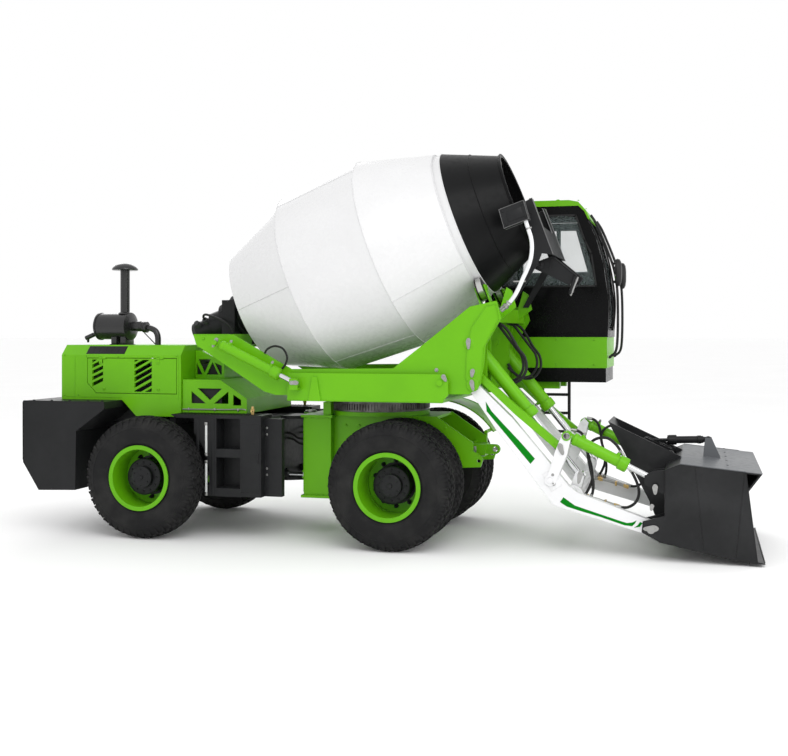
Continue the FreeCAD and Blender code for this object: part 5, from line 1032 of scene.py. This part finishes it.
# Drum mouth: a black cone with a rolled lip, open at its end. Spiral blades show inside it, worn bright
# along their edges where concrete slides over them.
mouth_black = enamel("mouth_black", (0.004, 0.0042, 0.0045), (0.007, 0.0072, 0.0075), 0.34, 0.03, shine=0.1)
coat(mouth_black, "drum_mouth")
scoured = Finish("scoured_blade", metallic=0.7)
wear = scoured.ramp(scoured.grain(18, detail=6, rough=0.7), 0.4, 0.65)
scoured.set(base_color=scoured.blend(wear, (0.14, 0.135, 0.13), (0.33, 0.32, 0.3)))
scoured.set(roughness=0.4 + wear * 0.25)
scoured.bump(scoured.grain(60, detail=5), strength=0.4, distance=0.002)
blades = Shape()
for start in (0, 180):
    edges = []
    for i in range(61):
        far = 1150 - 620 * i / 60
        wall = min(440 + (1160 - far) / 451 * 200, 628) - 14
        inner = wall - 210 * min(1, 0.25 + 1.6 * i / 60)
        edges.append([blades.mesh.verts.new(on_drum(far + step, radius, start + 5 * i))
                      for step, radius in ((-4, wall), (4, wall), (4, inner), (-4, inner))])
    blades.skin(edges)
blades.make("mixing_blades", "drum", scoured, "steel")
lip = Shape()
band(lip, 1176, 449, 7.5, 5, 10)
band(lip, 930, 547.5, 3.5, 5)
lip.make("mouth_lip", "drum", mouth_black, "black_paint")

# Drum drive: a cast gearbox with ribs and a bolted flange, the hydraulic motor behind it and the two
# rubber hoses that feed it from the pump.
ribbed = Shape()
back = -drum_along
ribbed.lathe([(-12, 189), (0, 196), (16, 196), (20, 188)], on_drum(-1585, 0), back, 48)
for i in range(16):
    ribbed.bolt(on_drum(-1603, 176, 22.5 * (i + 0.5)), back, 10)
for degrees in range(0, 360, 30):
    rib = [on_drum(far, radius, degrees) for far, radius in ((-1612, 158), (-1612, 186), (-1735, 161), (-1735, 155))]
    half = (on_drum(0, 4, degrees + 90) - on_drum(0, 0))
    ribbed.skin([[ribbed.mesh.verts.new(place + shift) for place in rib] for shift in (half, -half)])
ribbed.lathe([(0, 124), (16, 124), (20, 116)], on_drum(-1742, 0), back, 40)
for i in range(8):
    ribbed.bolt(on_drum(-1762, 108, 45 * i + 10), back, 10)
ribbed.lathe([(0, 94), (30, 94), (36, 85), (36, 30)], on_drum(-2040, 0), back)
for side in (-1, 1):
    for far in (-1900, -1990):
        ribbed.lathe([(0, 30), (35, 30), (40, 26), (55, 26)], on_drum(far, 86, 60 * side),
                     drum_up * 0.5 + Vector((0, 0.87 * side, 0)), 20)
ribbed.make("drive_castings", "drum_frame", iron, "engine_iron")
for word, side in hands:
    port = on_drum(-1900, 118, 60 * side)
    hose(f"{word}_drive_hose", "drum_frame", [
        port, port + Vector((0, side * 50, 35)), port + Vector((60, side * 110, 55)), (-1780, side * 270, 1890),
        (-1690, side * 298, 1850), (-1640, side * 300, 1800), (-1622, side * 300, 1756)], 10.8)

# Charging hopper: folded black plate with light rubbed edges, a slot in its face where the bucket's chute
# enters, and stays down to the head beam. A flat box on its right end carries the water fitting.
rubbed = metal("rubbed_edge", (0.2, 0.2, 0.2), 0.4)
rims = Shape()
for side in (-1, 1):
    rims.bar(beside(side * 393, (975, 2815), (1085, 2875), (1262, 2405), (1118, 2425)), 4.5)
    rims.bar([(1071, side * 300, 2868), (1071, side * 400, 2868)], 6)
    rims.bar(beside(side * 300, (1073, 2866), (1161, 2642)), 6)
rims.bar([(1161, -300, 2642), (1161, 300, 2642)], 6)
for y in (-601, -514):
    rims.bar(beside(y, (850, 2760), (1050, 2830), (1092, 2680), (893, 2607), (850, 2760)), 3.5)
rims.make("hopper_edges", "drum_frame", rubbed, "steel")
bits = Shape()
for x, z in ((880, 2745), (1035, 2800), (1070, 2700), (915, 2640)):
    bits.bolt((x, -601, z), (0, -1, 0), 9, 5)
bits.plate([(905, 2735), (1030, 2779), (1056, 2700), (930, 2656)], "y", -604, 5, edge=2)
for side in (-1, 1):
    for k in range(4):
        bits.bolt((1000 + 40 * k, side * 393, 2800 - 70 * k), (0, side, 0), 8, 5)
bits.make("hopper_fittings", "drum_frame", black, "black_paint")

# Discharge chute: a folded black trough hung on one pin under the mouth, with a stiffened rim and a
# plated handle along its right edge.
chute = Shape()
for side in (-1, 1):
    y, outward = side * 250, (0, side, 0)
    chute.bar(beside(y, (1085, 2345), (1240, 2400), (1437, 2235)), 6.5)
    chute.lathe([(-10, 34), (8, 34), (10, 30)], (1130, y, 2330), outward, 24)
    chute.bolt((1130, side * 260, 2330), outward, 13)
    chute.block((1215, y - 4, 2290), (1228, y + 4, 2385), turn=("Y", 12, (1220, y, 2340)))
chute.make("chute_rims", "discharge_chute", black, "black_paint")
handle = Shape()
handle.bar(beside(-258, (1451, 2226), (1389, 2072)), 8, steps=12)
for x, z in ((1440, 2200), (1402, 2106)):
    handle.lathe([(0, 12), (12, 10)], (x, -258, z), (0, 1, 0), 12)
handle.make("chute_handle", "discharge_chute", zinc, "steel")

# Water hose: smooth white rubber from the pump on the tilting frame up to the box beside the hopper,
# held by a thin bar, with a plated elbow at its lower end and a clamp at each end.
white_hose = mottled("white_hose_rubber", 6, (0.82, 0.83, 0.84), (0.72, 0.735, 0.75), 120, 0.08, 0.0005,
                     roughness=0.42)
route = beside(-560, (893, 1975), (930, 2005), (976, 2067), (1010, 2132), (1041, 2206), (1070, 2262), (1097, 2330),
               (1112, 2400), (1115, 2470), (1106, 2540), (1083, 2605), (1062.5, 2667.8))
drawn = bpy.data.curves.new("white_water_hose", "CURVE")
drawn.dimensions = "3D"
drawn.bevel_depth = 0.017
drawn.bevel_resolution = 6
drawn.resolution_u = 10
spline = drawn.splines.new("NURBS")
spline.points.add(len(route) - 1)
for point, here in zip(spline.points, route):
    point.co = (*spot(*here), 1)
spline.order_u = 3
spline.use_endpoint_u = True
drawn.materials.append(white_hose.material)
water = add("white_water_hose", drawn)
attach(water, "drum_frame")
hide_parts("water_hose")
tuple(spot(893, -560, 1975))
clamps = Shape()
for here, ahead in ((route[1], route[2]), (route[10], route[9])):
    run = (Vector(ahead) - Vector(here)).normalized()
    clamps.lathe([(-7, 17.5), (-7, 19.5), (7, 19.5), (7, 17.5)], here, run, 24)
    screw = Vector(here) + run.cross(Vector((0, 1, 0))) * 22
    clamps.block(screw - Vector((8, 6, 6)), screw + Vector((8, 6, 6)), edge=1)
clamps.lathe([(-30, 22), (12, 22), (16, 27), (34, 27), (36, 18.5), (50, 18.5)], (881, -560, 1965), (0.77, 0, 0.63), 20)
clamps.block((960, -548, 2174), (1060, -542, 2186), edge=1)
clamps.make("hose_clamps", "drum_frame", zinc, "steel")

# Hydraulic cylinders: painted barrels with welded end caps and a heavier gland, over ground chrome rods.
# The tilting, lift and bucket cylinders are green with plated unions on their ports; the rest are black.


def ram(name, body, start, end, reach, radius, ys, colour=green, port_side=1.0):
    """The fittings on a row of cylinders: weld rings, a gland and two hose ports with their unions."""
    fittings, clips = Shape(), Shape()
    run = Vector((end[0] - start[0], 0, end[1] - start[1])).normalized()
    up = Vector((-run.z, 0, run.x)) * port_side
    for y in ys:
        low = Vector((start[0], y, start[1]))
        fittings.lathe([(55, radius), (60, radius + 4), (85, radius + 4), (90, radius)], low, run)
        fittings.lathe([(reach - 74, radius + 8.5), (reach - 70, radius + 11.5), (reach - 12, radius + 11.5),
                        (reach - 8, radius + 6), (reach + 4, radius * 0.82)], low, run, 36)
        for far in (120, reach - 100) if port_side else ():
            at = low + run * far + up * (radius - 4)
            fittings.lathe([(0, 17), (12, 17), (14, 13), (22, 13)], at, up, 20)
            clips.lathe([(22, 12.5), (34, 12.5), (36, 9), (44, 9)], at, up, 6)
    fittings.make(f"{name}_end_fittings", body, colour, "green_paint" if colour is green else "black_paint")
    if port_side:
        clips.make(f"{name}_port_unions", body, zinc, "steel")


ram("tilt_cylinder", "tilt_barrels", (-1530, 1682), (-822, 1350), 630, 40, (-822, 822))
ram("lift_cylinder", "lift_barrels", (628, 1676), (1495, 615), 764, 55, (-500, 500), port_side=-1.0)
ram("bucket_cylinder", "bucket_barrels", (1410, 949), (2060, 635), 525, 46, (-640, 640))
ram("gate_cylinder", "gate_barrel", (2500, 880), (1990, 862), 330, 30, (0,), black, 0)
for word, side in hands:
    ports = Shape()
    ports.lathe([(50, 30), (54, 34), (70, 34), (74, 30)], (-1500, side * 200, 510), (1, 0, 0), 28)
    for x in (-1410, -1260):
        ports.lathe([(24, 13), (40, 13), (42, 10), (55, 10)], (x, side * 200, 510), (0, 0, 1), 6)
    ports.make(f"{word}_steering_ports", f"{word}_steering_barrel", zinc, "steel")

# Loader arms: bent white box arms joined by a cross tube, with welded lugs. Two green stripes are stuck on
# each outer face, and twin steel tubes with brass-coloured unions run along the inner faces to the bucket's
# hoses.
stripe = enamel("stripe_green", (0.0, 0.2, 0.006), (0.0, 0.17, 0.005), 0.4, 0.0, shine=0.1)
stripes = [
    [(758, 1211), (766, 1132), (1122, 719), (1158, 762), (1035, 897), (900, 1035), (807, 1133)],
    [(1385, 464), (1357, 425), (1411, 391), (1524, 359), (1678, 319), (1860, 263), (1920, 258), (1942, 279),
     (1955, 305), (1925, 289), (1880, 282), (1830, 295), (1576, 371), (1473, 403)],
    [(1980, 294), (2002, 287), (1980, 256), (1935, 247), (1965, 270)],
]
tube_line = [(690, 1280), (760, 1200), (900, 1030), (1150, 720), (1330, 500), (1420, 450), (1560, 440), (1672, 415),
             (1790, 380)]
bands = Shape()
joints = Shape()
keys = Shape()
pipes = Shape()
unions = Shape()
for side in (-1, 1):
    face, outward = side * 680, (0, side, 0)
    for outline in stripes:
        bands.plate(outline, "y", face, side * 0.8)
    for seam in (((650, 1297), (843, 987), (1300, 405)), ((1300, 406), (1345, 386), (2050, 196)),
                 ((1500, 501), (2070, 301)), ((967, 1088), (1418, 562))):
        joints.bead(beside(side * 676, *seam), 3)
    joints.plate([(1220, 640), (1298, 690), (1372, 560), (1290, 505)], "y", face, side * 5, edge=1)
    joints.lathe([(-10, 50), (4, 50), (6, 46)], (2067, face, 247), outward)
    joints.lathe([(-10, 82), (6, 82), (8, 76)], (1450, side * 596, 470), outward)
    keeper(keys, side, 1287, 686, 590, -46, across=24)
    keeper(keys, side, 1514, 681, 626, 78, half=40, across=22)
    for row in range(2):
        tube = [(x, side * (560 - 24 * row), z + 14 * row) for x, z in tube_line]
        pipes.tube(tube, 8, steps=10)
        for i, along in ((3, (0.63, 0, -0.77)), (6, (0.96, 0, -0.28)), (8, (0.96, 0, -0.28))):
            unions.lathe([(-22, 12.5), (22, 12.5)], tube[i], along, 6)
    for x, z in ((900, 1030), (1560, 440), (1700, 400)):
        unions.block((x - 9, side * 548 - 30, z - 8), (x + 9, side * 548 + 55, z + 30), edge=3)
bands.make("arm_stripes", "loader_arms", stripe, "green_paint")
joints.make("arm_weldments", "loader_arms", white, "white_paint")
keys.make("arm_pin_keepers", "loader_arms", zinc, "steel")
pipes.make("arm_steel_tubes", "loader_arms", zinc, "steel")
unions.make("tube_unions", "loader_arms", brass, "steel")

# Loader hoses: black hydraulic hoses with crimped ends. They loop from the arms' tubes to the bucket
# cylinders, and from the tilting frame's valve down to the tubes, with slack for the boom's travel.
runs = {
    "high": [(1530, 586, 452), (1572, 580, 520), (1600, 562, 600), (1592, 562, 700), (1568, 562, 786),
             (1566, 562, 840), (1590, 564, 890), (1645, 570, 925), (1723, 580, 928), (1790, 590, 880),
             (1835, 597, 815), (1850, 600, 792)],
    "back": [(1440, 590, 990), (1488, 590, 982), (1521, 590, 961), (1543, 590, 928), (1554, 590, 885),
             (1570, 590, 774), (1592, 590, 660), (1610, 590, 575), (1606, 588, 500), (1585, 586, 445)],
    "low": beside(584, (1790, 394), (1830, 386), (1885, 390), (1940, 428), (1966, 490), (1960, 560), (1926, 641),
                  (1890, 700)),
}
crimps = Shape()
for word, side in hands:
    for level, points in runs.items():
        places = [Vector((x, side * y, z)) for x, y, z in points]
        hose(f"{word}_{level}_bucket_hose", "loader_arms", places, 11.5)
        for here, ahead in ((places[0], places[1]), (places[-1], places[-2])):
            crimps.lathe([(-4, 13.5), (40, 13.5)], here, ahead - here, 12)
crimps.make("hose_crimps", "loader_arms", zinc, "steel")
for word, side in hands:
    for row in range(2):
        y, end = side * (398 - 28 * row), side * 398
        hose(f"{word}_valve_hose_{row + 1}", "drum_frame", [
            (735, y, 1852), (800, y, 1848 - 20 * row), (880 - 16 * row, y, 1790 - 40 * row),
            (972 - 30 * row, y, 1639 + 10 * row), (1030 - 30 * row, y, 1558 + 10 * row),
            (1040 - 30 * row, y, 1456 + 10 * row), (985 - 30 * row, y, 1370 + 10 * row),
            (890 - 28 * row, y, 1352 + 12 * row), (800 - 12 * row, end, 1400 + 12 * row), (742, end, 1450 + 36 * row),
        ], 12)

# Rockers and levelling links: white rocker plates on the arms with a ringed pin at the top, joined to
# the frame by green bars that keep the bucket level.
rings = Shape()
hubs = Shape()
bars = Shape()
for side in (-1, 1):
    top, outward = (1410, side * 695, 949), (0, side, 0)
    rings.lathe([(0, 38), (5, 38), (5, 28), (0.5, 28)], top, outward, 36, closed=False)
    hubs.lathe([(0, 26), (4, 26), (6, 22), (6, 0)], top, outward)
    keeper(hubs, side, 1369, 695, 845, 108, half=36, across=24)
    hubs.bolt((1302, side * 695, 640), outward, 10)
    for x, z in ((690, 1390), (1330, 880)):
        bars.lathe([(-20, 24.5), (-20, 28), (20, 28), (20, 24.5)], (x, side * 640, z), (707, 0, -598), 20)
rings.make("rocker_pin_rings", "rockers", green, "green_paint")
hubs.make("rocker_keepers", "rockers", zinc, "steel")
bars.make("link_collars", "levelling_links", green, "green_paint")

# Bucket: welded black steel with bolted wear edges, a worn cutting lip without teeth, side stiffeners and
# pear-shaped plated keepers on its pins. Its top face is painted a lighter grey as a painted highlight.
bucket_black = enamel("bucket_black", (0.009, 0.0093, 0.010), (0.014, 0.0145, 0.0155), 0.33, 0.08)
grime = bucket_black.ramp(bucket_black.grain(3.5, detail=6, rough=0.65), 0.45, 0.8)
bucket_black.cover(grime * 0.2, (0.06, 0.06, 0.062))
# Painted highlight: everything above the line of the top edge, ahead of its back corner, is painted a lighter grey of
# the same tint.
ahead = bucket_black.place("X") - spot(2292, 0, 0).x
top = (bucket_black.place("Z") + ahead * 0.0967 > 0.757) * (ahead > -0.01)
bucket_black.cover(top, (0.115, 0.121, 0.13))
coat(bucket_black, "bucket bucket_gate")
wear = Shape()
locks = Shape()
for side in (-1, 1):
    for start, end in (
        ((2127, 157), (2697, 44)), ((2854, 36), (2770, 715)), ((2173, 359), (2173, 711)), ((2292, 761), (2770, 715)),
        ((2396, 748), (2461, 120)), ((2761, 712), (2698, 63)),
    ):
        wear.bead(beside(side * 740, start, end), 3.5)
    keeper(locks, side, 2067, 746, 258, 4, half=44, across=26)
    keeper(locks, side, 2099, 741, 560, 90, half=30, across=22)
    keeper(locks, side, 2073, 741, 421, 80, half=20, across=18)
for y in range(-600, 601, 300):
    wear.bolt((2640, y, 742), (0.08, 0, 1), 9, 5)
wear.make("bucket_wear_plates", "bucket", bucket_black, "black_paint")
locks.make("bucket_pin_keepers", "bucket", zinc, "steel")
lip_steel = metal("worn_lip", (0.30, 0.30, 0.3), 0.42)
lip = Shape()
lip.bar([(2909, -720, 34), (2909, 720, 34)], 4)
lip.make("bucket_lip_edge", "bucket", lip_steel, "steel")
